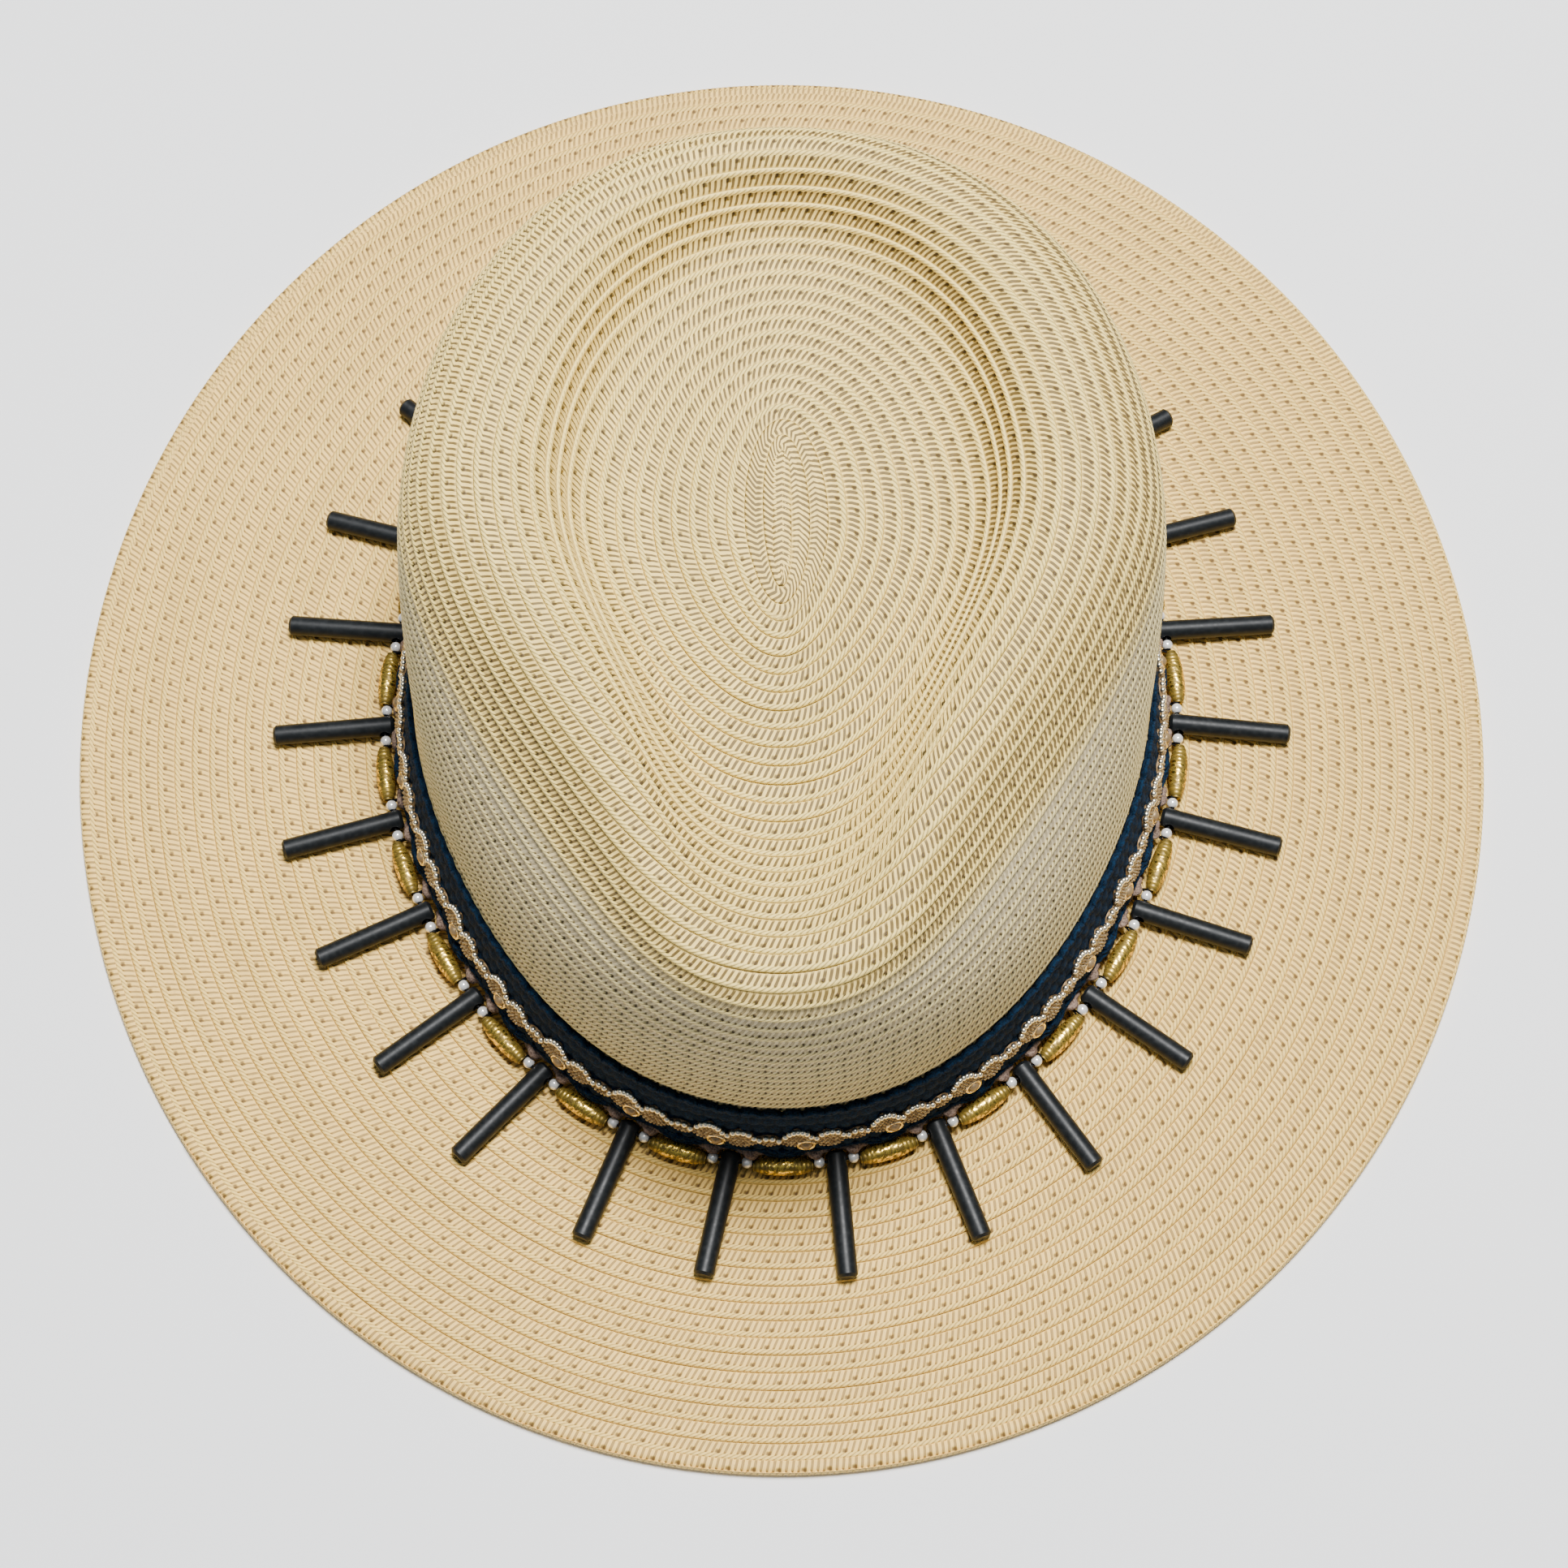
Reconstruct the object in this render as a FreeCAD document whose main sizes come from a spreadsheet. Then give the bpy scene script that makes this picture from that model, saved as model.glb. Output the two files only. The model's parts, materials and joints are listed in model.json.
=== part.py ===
import FreeCAD, Part
import math
import os
import Sketcher

# Wide-brimmed straw sun hat with a moulded, pinched crown, a crocheted band, a gold scroll trim and a
# bead string that carries loose hanging tubes. Millimetres. The brim's flat underside lies in z = 0, the
# front of the hat points to -Y, and the origin is at the middle of the brim's underside.

Vector = FreeCAD.Vector
Rotation = FreeCAD.Rotation
Placement = FreeCAD.Placement
UP = Vector(0, 0, 1)

doc = FreeCAD.newDocument("sun_hat")
sheet = doc.addObject("Spreadsheet::Sheet", "Dimensions")

DIMENSIONS = [
    # alias, millimetres or count, what it is
    ("brim_half_width", 163.0, "brim, from its middle to either side"),
    ("brim_half_length", 175.9, "brim, from its middle to the front or back"),
    ("straw_thickness", 2.0, "braided straw, crown and brim"),
    ("brim_edge_round", 0.7, "rounding of the brim's outer edge"),
    ("base_half_width", 87.0, "outside of the crown's wall where it leaves the brim"),
    ("base_half_length", 102.2, "the same, front to back"),
    ("base_centre", -2.4, "middle of that oval, along Y"),
    ("neck_height", 30.0, "height at which the wall turns nearly upright"),
    ("neck_half_width", 82.5, "outside of the wall at that height"),
    ("neck_half_length", 101.75, "the same, front to back"),
    ("neck_centre", -2.25, "middle of that oval, along Y"),
    ("sweat_low", 1.0, "lower edge of the sweatband"),
    ("sweat_high", 29.0, "upper edge of the sweatband"),
    ("sweat_gap", 1.1, "between the sweatband and the straw"),
    ("sweat_thickness", 0.9, "sweatband"),
    ("band_low", 3.0, "lower edge of the crocheted band"),
    ("band_high", 30.0, "upper edge of the crocheted band"),
    ("band_gap", 0.5, "between the band and the straw"),
    ("band_thickness", 1.2, "crocheted band"),
    ("trim_low", 11.5, "lower edge of the gold trim"),
    ("trim_high", 19.5, "upper edge of the gold trim"),
    ("trim_gap", 0.1, "between the trim and the band"),
    ("trim_thickness", 0.8, "gold trim"),
    ("stud_radius", 1.7, "half-ball stud on the trim"),
    ("stud_gap", 0.33, "between a stud's flat side and the leaning trim"),
    ("stud_count", 31, "studs round the hat"),
    ("thread_offset", 5.1, "bead thread, outward from the foot of the wall"),
    ("thread_radius", 0.3, "bead thread"),
    ("tube_count", 26, "hanging tubes round the hat"),
    ("tube_crowding", 2.0, "how far a tube at the side sits nearer the front than even spacing"),
    ("tube_shift", 0.3, "every tube, along the thread towards +X at the front"),
    ("tube_radius", 2.3, "hanging tube"),
    ("tube_length", 28.0, "hanging tube"),
    ("tube_chamfer", 0.6, "at both ends of a tube"),
    ("tube_hole_radius", 1.2, "cross hole that the thread runs through"),
    ("tube_hole_inset", 2.3, "from the tube's inner end to the middle of its hole"),
    ("tube_rest_gap", 0.3, "between a lying tube's outer end and the brim"),
    ("tube_drop", 0.9, "how much lower a lying tube's outer end is than its hole"),
    ("tube_side_gap", 0.45, "between a tube and the spacer beside it"),
    ("spacer_radius", 1.25, "small silver ball each side of a tube"),
    ("bead_length", 12.0, "spindle-shaped gold bead"),
    ("bead_radius", 2.4, "the same, at its middle"),
    ("bead_end_radius", 1.1, "the same, at its ends"),
    ("bead_bore_radius", 0.55, "hole along beads and spacers"),
    ("tie_gap", 0.65, "between a tie's end and the leaning band"),
    ("tie_radius", 0.15, "thread that ties the bead string to the band"),
]
for row, (alias, value, note) in enumerate(DIMENSIONS, start=1):
    sheet.set("A%d" % row, alias)
    sheet.set("B%d" % row, str(value))
    sheet.set("C%d" % row, note)
    sheet.setAlias("B%d" % row, alias)
doc.recompute()


def size(alias):
    return float(getattr(sheet, alias))


def cell(alias):
    return "Dimensions." + alias


# ---------------------------------------------------------------- straw crown

# The crown is a free-form shell through closed level curves, listed from the brim up to the rim and then
# down into the dished top. For each level: half width at the sides, y of the widest place, reach from
# there to the back and to the front, how much the front half is narrowed, how much the back corners are
# filled out, and the height at the sides, at the back and at the front. The oval at the foot and the one
# at the neck come from the sheet.
MOULDED_LEVELS = [
    # half width, widest y, to back, to front, narrowing, filling, side z, back z, front z
    (82.3, 3.0, 97.2, 107.6, 0.10, 0.01, 55.0, 55.5, 54.0),
    (81.6, 8.0, 92.0, 112.2, 0.21, 0.02, 76.0, 77.0, 71.0),
    (79.5, 12.0, 87.8, 114.5, 0.30, 0.02, 89.0, 90.5, 81.5),
    (74.5, 13.5, 84.4, 113.6, 0.33, 0.02, 97.5, 97.7, 87.5),
    (67.0, 14.0, 80.0, 109.5, 0.33, 0.02, 103.0, 101.2, 90.3),
    (58.5, 14.0, 75.3, 102.0, 0.32, 0.01, 105.0, 102.0, 90.3),
    (50.5, 14.0, 70.5, 90.0, 0.25, 0.0, 102.5, 98.2, 87.8),
    (43.0, 13.0, 64.2, 81.0, 0.22, 0.0, 92.0, 90.5, 85.6),
    (36.0, 12.0, 54.0, 66.0, 0.15, 0.0, 89.5, 88.5, 86.6),
    (20.0, 9.0, 33.0, 44.0, 0.08, 0.0, 91.0, 90.5, 89.8),
    (5.5, 6.0, 19.5, 19.5, 0.0, 0.0, 92.0, 92.0, 92.0),
]
FLARE_HEIGHT = 14.0
FLARE_INWARD = 0.3
FOOT_NARROWING = 0.02
NECK_NARROWING = 0.05
NARROWING_TURN = 2.094
CURVE_POINTS = 48
ROW_COUNT = 46


def foot_level():
    return (size("base_half_width"), size("base_centre"), size("base_half_length"),
            size("base_half_length"), FOOT_NARROWING, 0.0) + (size("straw_thickness"),) * 3


def neck_level():
    return (size("neck_half_width"), size("neck_centre"), size("neck_half_length"),
            size("neck_half_length"), NECK_NARROWING, 0.0) + (size("neck_height"),) * 3


def wall_level(height, grow):
    """The wall's oval at a height between its foot and its neck, made larger all round."""
    foot = foot_level()
    neck = neck_level()
    part_way = (height - foot[6]) / (neck[6] - foot[6])
    level = [low + (high - low) * part_way for low, high in zip(foot, neck)]
    for reach in (0, 2, 3):
        level[reach] += grow
    return tuple(level)


def level_point(level, turn):
    """The point of one level curve at a turn in radians, 0 at +X and a quarter turn at the back."""
    half_width, widest_y, to_back, to_front, narrowing, filling, side_z, back_z, front_z = level
    along = math.sin(turn)
    across = math.cos(turn)
    if along < 0:
        reach, end_z = to_front, front_z
        across_scale = 1 - narrowing * math.sin(NARROWING_TURN * along) ** 2
        along_scale = 1.0
    else:
        reach, end_z = to_back, back_z
        across_scale = along_scale = 1 + filling * math.sin(2 * turn) ** 2
    height = side_z * across ** 2 + end_z * along ** 2
    return Vector(half_width * across * across_scale, widest_y + reach * along * along_scale, height)


def braid_rows(levels):
    """Rows of points evenly spaced along the shell, foot first; each row starts and ends at the back."""
    turns = [math.pi / 2 + 2 * math.pi * i / CURVE_POINTS for i in range(CURVE_POINTS + 1)]
    meridians = []
    for turn in turns:
        meridian = Part.BSplineCurve()
        meridian.interpolate([level_point(level, turn) for level in levels])
        meridians.append(meridian.toShape().discretize(Number=ROW_COUNT))
    return [[meridian[i] for meridian in meridians] for i in range(ROW_COUNT)]


def inner_rows(rows, thickness):
    """The same rows moved inward, square to the shell, by its thickness."""
    moved_rows = []
    last = len(rows) - 1
    for index, row in enumerate(rows):
        below = rows[max(index - 1, 0)]
        above = rows[min(index + 1, last)]
        moved = []
        for i, point in enumerate(row):
            ahead = row[(i + 1) % CURVE_POINTS] - row[(i - 1) % CURVE_POINTS]
            outward = ahead.cross(above[i] - below[i])
            if index == 0:
                outward.z = 0
            if index == last:
                outward = UP
            moved.append(point - Vector(outward).normalize() * thickness)
        moved_rows.append(moved)
    return moved_rows


def skin(rows):
    """One smooth face through the rows."""
    surface = Part.BSplineSurface()
    surface.interpolate(rows)
    surface.setVPeriodic()
    return surface.toShape()


def end_loop(face, lowest):
    """The closed edge of a skin at its foot or at its top."""
    loops = [edge for edge in face.Edges if edge.isClosed()]
    loops.sort(key=lambda edge: edge.BoundBox.ZMax)
    return Part.Wire([loops[0] if lowest else loops[-1]])


def make_crown():
    """The crown: an open shell of even thickness, closed at its foot and over the start of the braid."""
    between = wall_level(FLARE_HEIGHT, -FLARE_INWARD)
    rows = braid_rows([foot_level(), between, neck_level()] + MOULDED_LEVELS)
    outside = skin(rows)
    inside = skin(inner_rows(rows, size("straw_thickness")))
    foot = Part.Face([end_loop(outside, True), end_loop(inside, True)], "Part::FaceMakerBullseye")
    tops = [Part.Face(end_loop(face, False)) for face in (outside, inside)]
    shell = Part.makeShell([outside, inside, foot] + tops)
    shell.sewShape()
    crown = doc.addObject("Part::Feature", "straw_crown")
    crown.Label = "straw_crown"
    crown.Shape = Part.makeSolid(shell)
    return crown


# ---------------------------------------------------------------- rings round the wall

def level_curve(level):
    """A level as one smooth closed edge that starts at the front."""
    turns = [-math.pi / 2 + 2 * math.pi * i / CURVE_POINTS for i in range(CURVE_POINTS)]
    curve = Part.BSplineCurve()
    curve.interpolate(Points=[level_point(level, turn) for turn in turns], PeriodicFlag=True,
                      Parameters=list(range(CURVE_POINTS + 1)))
    return curve.toShape()


def make_ring(label, low, high, inner_grow, outer_grow):
    """A thin ring that follows the wall between two heights."""
    shells = []
    for side, grow in (("outer", outer_grow), ("inner", inner_grow)):
        ends = []
        for height in (low, high):
            wire = doc.addObject("Part::Feature", "%s_%s_%d" % (label, side, len(ends)))
            wire.Shape = Part.Wire([level_curve(wall_level(height, grow))])
            ends.append(wire)
        shell = doc.addObject("Part::Loft", "%s_%s" % (label, side))
        shell.Sections = ends
        shell.Solid = True
        shell.Ruled = True
        shells.append(shell)
    return cut(label, shells[0], shells[1])


def cut(label, base, tool):
    result = doc.addObject("Part::Cut", label)
    result.Base = base
    result.Tool = tool
    result.Label = label
    return result


def ellipse(name, half_length, half_width, centre):
    """An ellipse in z = 0 with its long axis along Y; the other arguments are expressions."""
    curve = doc.addObject("Part::Ellipse", name)
    curve.Placement = Placement(Vector(0, 0, 0), Rotation(UP, 90))
    curve.setExpression("MajorRadius", half_length)
    curve.setExpression("MinorRadius", half_width)
    curve.setExpression("Placement.Base.y", centre)
    return curve


def make_brim():
    """The flat brim: an oval plate with the head opening through it and a rounded outer edge."""
    plate_curve = ellipse("brim_outline", cell("brim_half_length"), cell("brim_half_width"), "0")
    opening = Part.Wire([level_curve(wall_level(0, -size("straw_thickness")))])
    opening_curve = doc.addObject("Part::Feature", "brim_opening")
    opening_curve.Shape = opening
    solids = []
    for name, curve in (("brim_plate", plate_curve), ("brim_hole", opening_curve)):
        solid = doc.addObject("Part::Extrusion", name)
        solid.Base = curve
        solid.DirMode = "Custom"
        solid.Dir = UP
        solid.Solid = True
        solid.setExpression("LengthFwd", cell("straw_thickness"))
        solids.append(solid)
    flat = cut("brim_flat", solids[0], solids[1])
    doc.recompute()
    rounded = doc.addObject("Part::Fillet", "straw_brim")
    rounded.Label = "straw_brim"
    rounded.Base = flat
    radius = size("brim_edge_round")
    outline_length = plate_curve.Shape.Length
    rounded.Edges = [(number, radius, radius) for number, edge in enumerate(flat.Shape.Edges, start=1)
                     if abs(edge.Length - outline_length) < 1.0]
    return rounded


# ---------------------------------------------------------------- bead string

# How far each tube leans from straight out, in degrees, counted from the front towards +X all round.
# The thread holes are loose enough to let them.
TUBE_LEANS = [-4, -5, -6, 0, 6, -2, -4, -6, -6, -4, 3, -5, 2,
              6, -3, 4, -6, 6, 5, 3, 2, 0, 1, -3, 3, -4]


def thread_height():
    return size("straw_thickness") + size("tube_rest_gap") + size("tube_radius") + size("tube_drop")


def thread_corners():
    """One point of the thread for each tube, the first just right of the front, a little closer there."""
    oval = level_curve(wall_level(size("straw_thickness"), size("thread_offset")))
    oval.translate(Vector(0, 0, thread_height() - size("straw_thickness")))
    count = int(size("tube_count"))
    corners = []
    for i in range(count):
        turn = (i + 0.5) / count
        drawn = size("tube_crowding") * math.sin(2 * math.pi * turn)
        along = turn * oval.Length - drawn + size("tube_shift")
        corners.append(oval.valueAt(oval.getParameterByLength(along)))
    return corners


def thread_spans(corners):
    """For each stretch between two tubes: its start, its direction and its length."""
    spans = []
    for i, start in enumerate(corners):
        run = corners[(i + 1) % len(corners)] - start
        spans.append((start, Vector(run).normalize(), run.Length))
    return spans


def group(label, shapes):
    """Separate solids that share one node."""
    result = doc.addObject("Part::Feature", label)
    result.Label = label
    result.Shape = Part.makeCompound(shapes)
    return result


def spun(outline, bore_radius):
    """The solid of an outline, an edge in the XZ plane, turned round X, with a bore along X."""
    first, last = [vertex.Point for vertex in (outline.Vertexes[0], outline.Vertexes[-1])]
    bore_ends = [Vector(point.x, 0, bore_radius) for point in (last, first)]
    edges = [outline, Part.makeLine(last, bore_ends[0]), Part.makeLine(*bore_ends),
             Part.makeLine(bore_ends[1], first)]
    return Part.Face(Part.Wire(edges)).revolve(Vector(0, 0, 0), Vector(1, 0, 0), 360)


def placed(shape, position, direction):
    """A copy with its own X axis turned to a direction and its origin moved to a position."""
    copy = shape.copy()
    copy.Placement = Placement(position, Rotation(Vector(1, 0, 0), direction))
    return copy


def make_thread(spans):
    """The thread: straight from tube to tube, with a round corner inside each tube's hole."""
    radius = size("thread_radius")
    runs = [Part.makeCylinder(radius, length, start, direction) for start, direction, length in spans]
    bends = [Part.makeSphere(radius, start) for start, direction, length in spans]
    thread = doc.addObject("Part::Feature", "bead_thread")
    thread.Label = "bead_thread"
    thread.Shape = runs[0].multiFuse(runs[1:] + bends).removeSplitter()
    return thread


def make_beads(spans):
    """One spindle bead at the middle of each span and a spacer ball at each of its ends."""
    half = size("bead_length") / 2
    end_radius = size("bead_end_radius")
    full_radius = size("bead_radius")
    shoulder = (full_radius * 2 + end_radius) / 3
    belly = Part.BSplineCurve()
    belly.interpolate([Vector(-half, 0, end_radius), Vector(-half * 0.55, 0, shoulder),
                       Vector(0, 0, full_radius), Vector(half * 0.55, 0, shoulder),
                       Vector(half, 0, end_radius)])
    bead = spun(belly.toShape(), size("bead_bore_radius"))
    ball_radius = size("spacer_radius")
    arc = [Vector(ball_radius * math.cos(angle), 0, ball_radius * math.sin(angle))
           for angle in (math.radians(145), math.radians(90), math.radians(35))]
    ball = spun(Part.Arc(*arc).toShape(), size("bead_bore_radius"))
    from_corner = size("tube_radius") + size("tube_side_gap") + ball_radius
    beads = []
    balls = []
    for start, direction, length in spans:
        beads.append(placed(bead, start + direction * (length / 2), direction))
        for distance in (from_corner, length - from_corner):
            balls.append(placed(ball, start + direction * distance, direction))
    return [group("spindle_beads", beads), group("spacer_beads", balls)]


def make_ties(spans):
    """Short threads from the foot of the band to the bead thread, between each spacer and its bead."""
    spacer_end = size("tube_radius") + size("tube_side_gap") + 2 * size("spacer_radius")
    to_band = size("thread_offset") - size("band_gap") - size("band_thickness")
    reach = to_band - size("thread_radius") - size("tie_gap")
    ties = []
    for start, direction, length in spans:
        middle_of_gap = (spacer_end + (length - size("bead_length")) / 2) / 2
        inward = UP.cross(direction)
        for distance in (middle_of_gap, length - middle_of_gap):
            foot = start + direction * distance + inward * size("thread_radius")
            ties.append(Part.makeCylinder(size("tie_radius"), reach, foot, inward))
    return group("tie_threads", ties)


# ---------------------------------------------------------------- hanging tubes

def origin_plane(body, role):
    return [feature for feature in body.Origin.OriginFeatures if feature.Role == role][0]


def circle_sketch(body, name, plane, radius_alias):
    """A circle about the origin of one of the body's planes."""
    sketch = body.newObject("Sketcher::SketchObject", name)
    sketch.AttachmentSupport = [(origin_plane(body, plane), "")]
    sketch.MapMode = "FlatFace"
    sketch.addGeometry(Part.Circle(Vector(0, 0, 0), Vector(0, 0, 1), size(radius_alias)), False)
    sketch.addConstraint(Sketcher.Constraint("Coincident", 0, 3, -1, 1))
    radius = sketch.addConstraint(Sketcher.Constraint("Radius", 0, size(radius_alias)))
    sketch.renameConstraint(radius, "radius")
    sketch.setExpression("Constraints.radius", cell(radius_alias))
    return sketch


def make_tube_pattern():
    """One tube along +X with its cross hole along Y at the origin, chamfered at both ends."""
    body = doc.addObject("PartDesign::Body", "tube_pattern")
    section = circle_sketch(body, "tube_section", "YZ_Plane", "tube_radius")
    section.setExpression("AttachmentOffset.Base.z", "-" + cell("tube_hole_inset"))
    rod = body.newObject("PartDesign::Pad", "tube_rod")
    rod.Profile = section
    rod.setExpression("Length", cell("tube_length"))
    doc.recompute()
    rims = ["Edge%d" % number for number, edge in enumerate(rod.Shape.Edges, start=1)
            if isinstance(edge.Curve, Part.Circle)]
    chamfer = body.newObject("PartDesign::Chamfer", "tube_ends")
    chamfer.Base = (rod, rims)
    chamfer.setExpression("Size", cell("tube_chamfer"))
    doc.recompute()
    before = chamfer.Shape.Volume
    hole_section = circle_sketch(body, "tube_hole_section", "XZ_Plane", "tube_hole_radius")
    hole = body.newObject("PartDesign::Pocket", "tube_hole")
    hole.Profile = hole_section
    hole.Type = "ThroughAll"
    hole.Midplane = True
    doc.recompute()
    if hole.Shape.Volume > before - 1.0:
        raise RuntimeError("the tube's cross hole cuts nothing")
    return body


def make_tubes(corners):
    """A tube at each corner of the thread, lying outward on the brim at its own small lean."""
    pattern = make_tube_pattern()
    reach = size("tube_length") - size("tube_hole_inset")
    droop = Rotation(Vector(0, 1, 0), math.degrees(math.asin(size("tube_drop") / reach)))
    tubes = []
    for i, corner in enumerate(corners):
        along_thread = corners[(i + 1) % len(corners)] - corners[i - 1]
        outward = along_thread.cross(UP).normalize()
        tube = doc.addObject("Part::Feature", "hanging_tube_%02d" % (i + 1))
        tube.Label = tube.Name
        tube.Shape = pattern.Shape.copy()
        heading = math.degrees(math.atan2(outward.y, outward.x)) + TUBE_LEANS[i]
        tube.Placement = Placement(corner, Rotation(UP, heading) * droop)
        tubes.append(tube)
        print("hinge %s pos %.3f %.3f %.3f axis %.5f %.5f" % (
            tube.Label, corner.x, corner.y, corner.z,
            -math.sin(math.radians(heading)), math.cos(math.radians(heading))))
    return tubes


# ---------------------------------------------------------------- studs of the trim

def make_studs():
    """Half balls, evenly spaced along the middle of the trim, flat side against it."""
    height = (size("trim_low") + size("trim_high")) / 2
    proud = (size("band_gap") + size("band_thickness") + size("trim_gap") + size("trim_thickness")
             + size("stud_gap"))
    oval = level_curve(wall_level(height, proud))
    count = int(size("stud_count"))
    radius = size("stud_radius")
    inner_half = Part.makeBox(2 * radius, 2 * radius, 2 * radius, Vector(-2 * radius, -radius, -radius))
    dome = Part.makeSphere(radius).cut(inner_half)
    studs = []
    for i in range(count):
        turn = oval.getParameterByLength(i * oval.Length / count)
        tangent = oval.tangentAt(turn)
        studs.append(placed(dome, oval.valueAt(turn), tangent.cross(UP)))
    return group("trim_studs", studs)


# ---------------------------------------------------------------- assembly

crown = make_crown()
brim = make_brim()
sweat_outside = -size("straw_thickness") - size("sweat_gap")
sweatband = make_ring("sweatband", size("sweat_low"), size("sweat_high"),
                      sweat_outside - size("sweat_thickness"), sweat_outside)
band_outside = size("band_gap") + size("band_thickness")
band = make_ring("crochet_band", size("band_low"), size("band_high"), size("band_gap"), band_outside)
trim_inside = band_outside + size("trim_gap")
trim = make_ring("scroll_trim", size("trim_low"), size("trim_high"),
                 trim_inside, trim_inside + size("trim_thickness"))
thread_points = thread_corners()
all_spans = thread_spans(thread_points)
nodes = [crown, brim, sweatband, band, trim, make_studs(), make_thread(all_spans)]
nodes += make_beads(all_spans)
nodes.append(make_ties(all_spans))
nodes += make_tubes(thread_points)
doc.recompute()

for item in doc.Objects:
    if "Invalid" in item.State or "Error" in item.State:
        raise RuntimeError("%s failed: %s" % (item.Label, item.State))
os.makedirs("parts", exist_ok=True)
for node in nodes:
    if node.Shape.isNull() or not node.Shape.isValid():
        raise RuntimeError("%s has no valid shape" % node.Label)
    node.Shape.exportStep("parts/%s.step" % node.Label)
    box = node.Shape.BoundBox
    print("%-18s solids %2d volume %9.1f box %.2f..%.2f %.2f..%.2f %.2f..%.2f" % (
        node.Label, len(node.Shape.Solids), node.Shape.Volume,
        box.XMin, box.XMax, box.YMin, box.YMax, box.ZMin, box.ZMax))
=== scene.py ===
import json
import math
import bpy
import numpy as np
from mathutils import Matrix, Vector


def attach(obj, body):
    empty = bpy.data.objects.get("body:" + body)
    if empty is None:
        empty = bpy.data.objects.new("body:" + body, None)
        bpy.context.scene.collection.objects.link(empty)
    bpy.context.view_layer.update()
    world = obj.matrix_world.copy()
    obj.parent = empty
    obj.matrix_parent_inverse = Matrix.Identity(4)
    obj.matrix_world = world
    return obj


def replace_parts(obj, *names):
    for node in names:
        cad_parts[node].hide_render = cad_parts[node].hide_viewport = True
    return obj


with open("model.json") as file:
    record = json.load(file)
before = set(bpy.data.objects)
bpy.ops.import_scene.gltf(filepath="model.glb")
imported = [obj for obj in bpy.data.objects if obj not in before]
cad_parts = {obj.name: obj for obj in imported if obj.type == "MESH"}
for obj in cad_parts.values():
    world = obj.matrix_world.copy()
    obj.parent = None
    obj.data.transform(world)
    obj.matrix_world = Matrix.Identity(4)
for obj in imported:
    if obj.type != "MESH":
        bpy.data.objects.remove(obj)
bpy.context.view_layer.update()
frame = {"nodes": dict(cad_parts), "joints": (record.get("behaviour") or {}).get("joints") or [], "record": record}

# The looks of a straw sun hat around its CAD frame. Lengths are in millimetres until add_mesh turns them
# into metres. The brim's underside lies in z = 0, the front points to -Y.

MM = 0.001
TAU = 2 * math.pi
NEARLY_ZERO = 1e-9
UPWARD = np.array([0.0, 0.0, 1.0])
rng = np.random.default_rng(7)

# ---------------------------------------------------------------- mesh tools


def add_mesh(name, points, quads, material, body="hat", braid=None, tint=None):
    """A smooth mesh of quads that rides on a body. braid and tint give the material a value a point."""
    points = np.asarray(points, float).reshape(-1, 3)
    quads = np.asarray(quads, np.int32).reshape(-1, 4)
    mesh = bpy.data.meshes.new(name)
    mesh.vertices.add(len(points))
    mesh.vertices.foreach_set("co", (points * MM).astype(np.float32).ravel())
    mesh.loops.add(quads.size)
    mesh.loops.foreach_set("vertex_index", quads.ravel())
    mesh.polygons.add(len(quads))
    mesh.polygons.foreach_set("loop_start", np.arange(0, quads.size, 4, dtype=np.int32))
    mesh.polygons.foreach_set("use_smooth", np.ones(len(quads), bool))
    if braid is not None:
        layer = mesh.attributes.new("braid", "FLOAT_VECTOR", "POINT")
        layer.data.foreach_set("vector", np.asarray(braid, np.float32).ravel())
    if tint is not None:
        layer = mesh.attributes.new("tint", "FLOAT", "POINT")
        layer.data.foreach_set("value", np.asarray(tint, np.float32).ravel())
    mesh.update(calc_edges=True)
    mesh.validate()
    mesh.materials.append(material)
    thing = bpy.data.objects.new(name, mesh)
    bpy.context.scene.collection.objects.link(thing)
    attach(thing, body)
    return thing


def grid_quads(rows, columns, closed=False, flip=False):
    """Quads of a grid whose points are numbered row by row; closed joins the last column to the first."""
    across = columns if closed else columns - 1
    row, column = np.meshgrid(np.arange(rows - 1), np.arange(across), indexing="ij")
    after = (column + 1) % columns
    corners = [row * columns + column, row * columns + after, (row + 1) * columns + after,
               (row + 1) * columns + column]
    if flip:
        corners.reverse()
    return np.stack(corners, -1).reshape(-1, 4)


class Pile:
    """Several meshes gathered into one."""

    def __init__(self):
        self.points = []
        self.quads = []
        self.tints = []
        self.count = 0

    def add(self, points, quads, tint=0.0):
        points = np.asarray(points, float).reshape(-1, 3)
        self.points.append(points)
        self.quads.append(np.asarray(quads) + self.count)
        self.tints.append(np.broadcast_to(np.asarray(tint, float), len(points)))
        self.count += len(points)

    def joined(self):
        """All the points, all the quads and all the tints."""
        return np.concatenate(self.points), np.concatenate(self.quads), np.concatenate(self.tints)

    def build(self, name, material):
        points, quads, tints = self.joined()
        return add_mesh(name, points, quads, material, tint=tints)


def unit(vectors):
    return vectors / np.maximum(np.linalg.norm(vectors, axis=-1, keepdims=True), NEARLY_ZERO)


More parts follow.
